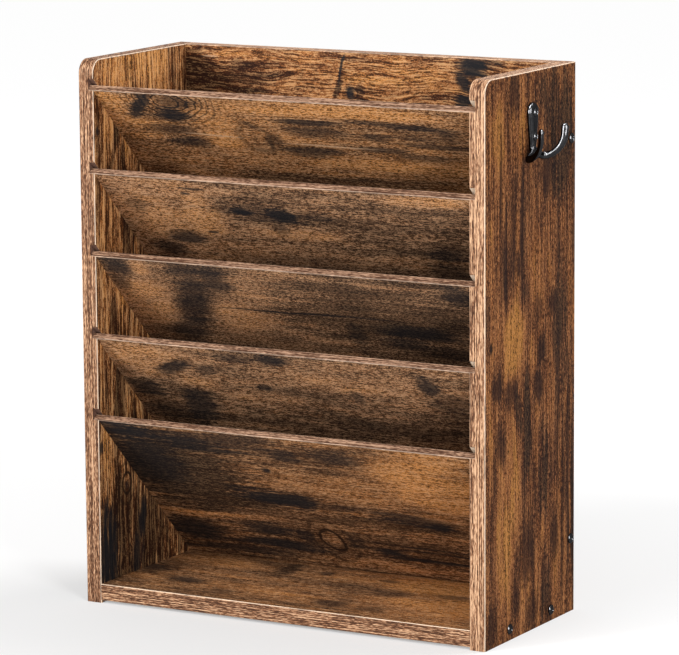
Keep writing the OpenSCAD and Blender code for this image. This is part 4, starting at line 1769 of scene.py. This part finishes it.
@dataclass(frozen=True)
class Lamp:
    """A soft rectangular lamp, with its place and size in metres and its power in watts."""

    name: str
    place: Triple
    width: float
    height: float
    watts: float

    def hang(self, aim: Vector) -> Piece:
        """Hangs the lamp up so that it faces a point."""
        data = bpy.data.lights.new(self.name, "AREA")
        data.shape = "RECTANGLE"
        data.size = self.width
        data.size_y = self.height
        data.energy = self.watts
        lamp = bpy.data.objects.new(self.name, data)
        bpy.context.scene.collection.objects.link(lamp)
        lamp.location = self.place
        lamp.rotation_euler = (aim - Vector(self.place)).to_track_quat("-Z", "Y").to_euler()
        return lamp


@dataclass
class Studio:
    """The camera at the photograph's angle, soft lamps, a pale floor and a white surround."""

    azimuth: float = 29.05
    elevation: float = 9.76
    roll: float = -0.37
    distance: float = 2.901
    aim_right: float = 0.0088
    aim_up: float = 0.0060
    aim: Vector = field(default_factory=lambda: Vector((0.0, 0.0, 0.1975)))
    focal_pixels: float = 4061.0
    picture_width: float = 679.0
    sensor: float = 36.0
    clip: tuple[float, float] = (0.05, 200.0)
    floor_reach: float = 30.0
    floor_drop: float = 0.0001
    floor_grey: Colour = (0.5, 0.5, 0.5)
    floor_glow: float = 0.82
    glow_dip: float = 0.42
    dip_spread: float = 0.83
    surround_light: float = 0.42
    surround_white: float = 1.0
    lamps: tuple[Lamp, ...] = (
        Lamp("key", (-1.3, -2.0, 1.0), 0.6, 0.6, 27.0),
        Lamp("high", (-0.35, -1.5, 1.85), 0.9, 0.4, 15.0),
        Lamp("low", (-0.8, -2.1, 0.24), 1.2, 0.25, 7.0),
        Lamp("fill", (1.9, -1.5, 0.8), 0.6, 1.0, 36.0),
        Lamp("top", (0.7, 0.9, 1.95), 1.2, 0.5, 28.0),
    )
    boxes: tuple[Lamp, ...] = (
        Lamp("front_box", (0.4, -1.35, 0.55), 0.6, 1.1, 110.0),
        Lamp("right_box", (1.9, -0.4, 0.7), 0.6, 1.3, 90.0),
        Lamp("over_box", (0.3, -0.45, 2.0), 1.2, 1.3, 260.0),
    )

    def camera(self) -> None:
        """Sets the camera up."""
        az, el, roll = (math.radians(a) for a in (self.azimuth, self.elevation, self.roll))
        back = Vector((math.sin(az) * math.cos(el), -math.cos(az) * math.cos(el), math.sin(el)))
        right = UP.cross(back).normalized()
        up = back.cross(right)
        rolled_right = right * math.cos(roll) + up * math.sin(roll)
        rolled_up = up * math.cos(roll) - right * math.sin(roll)
        data = bpy.data.cameras.new("camera")
        data.sensor_width = self.sensor
        data.lens = self.focal_pixels / self.picture_width * self.sensor
        data.clip_start, data.clip_end = self.clip
        camera = bpy.data.objects.new("camera", data)
        bpy.context.scene.collection.objects.link(camera)
        place = self.aim + back * self.distance + rolled_right * self.aim_right + rolled_up * self.aim_up
        turn = Matrix((rolled_right, rolled_up, back)).transposed().to_4x4()
        camera.matrix_world = Matrix.Translation(place) @ turn
        bpy.context.scene.camera = camera

    def highlights(self, pieces: list[Piece]) -> None:
        """Adds soft boxes that show only as reflections in the glossy metal.

        Args:
            pieces: The metal pieces.
        """
        metal = bpy.data.collections.new("metal")
        for piece in pieces:
            metal.objects.link(piece)
        for soft_box in self.boxes:
            box = soft_box.hang(self.aim)
            box.visible_camera = False
            box.visible_diffuse = False
            box.light_linking.receiver_collection = metal

    def seen_directly(self, tree: Tree) -> Socket:
        """1 for rays from the camera, reflections and clear materials, else 0."""
        path = tree.node("ShaderNodeLightPath")
        seen = tree.maths("MAXIMUM", path.outputs["Is Camera Ray"], path.outputs["Is Glossy Ray"])
        return tree.maths("MAXIMUM", seen, path.outputs["Is Transmission Ray"])

    def floor(self) -> None:
        """Adds the pale floor, which keeps the object's soft shadow and glows less close to the object."""
        deselect_all()
        bpy.ops.mesh.primitive_plane_add(size=self.floor_reach, location=(0, 0, -self.floor_drop))
        floor = bpy.context.active_object
        floor.name = "floor"
        tree = Tree(bpy.data.materials.new("floor_paper"))
        reach = tree.vector_maths("DOT_PRODUCT", tree.object_place, tree.object_place)
        spread = tree.maths("MULTIPLY_ADD", reach, self.dip_spread, 1.0)
        level = tree.maths("SUBTRACT", self.floor_glow, tree.maths("DIVIDE", self.glow_dip, spread))
        strength = tree.maths("MULTIPLY", self.seen_directly(tree), level)
        glow = tree.node("ShaderNodeEmission", Color=(1.0, 1.0, 1.0), Strength=strength)
        paper = tree.node("ShaderNodeBsdfDiffuse", Color=self.floor_grey)
        both = tree.node("ShaderNodeAddShader")
        tree.links.new(paper.outputs[0], both.inputs[0])
        tree.links.new(glow.outputs[0], both.inputs[1])
        tree.show(both)
        floor.data.materials.append(tree.owner)

    def surround(self) -> None:
        """Gives an even pale light from all round that looks white."""
        world = bpy.data.worlds.new("surround")
        bpy.context.scene.world = world
        tree = Tree(world)
        seen = self.seen_directly(tree)
        strength = tree.span(seen, 0.0, 1.0, self.surround_light, self.surround_white, soft=False)
        tree.show(tree.node("ShaderNodeBackground", Strength=strength))

    def build(self) -> None:
        """Builds the whole studio."""
        self.camera()
        self.surround()
        self.floor()
        for lamp in self.lamps:
            lamp.hang(self.aim)
        bpy.context.scene.view_settings.view_transform = "Standard"


def main() -> None:
    """Builds the whole picture in order."""
    logging.basicConfig(level=logging.INFO, format="%(message)s")
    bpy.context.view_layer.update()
    studio = Studio()
    studio.build()
    Boards().build()
    hardware = Hardware()
    hardware.build()
    studio.highlights(hardware.glossy)


if __name__ == "__main__":
    main()
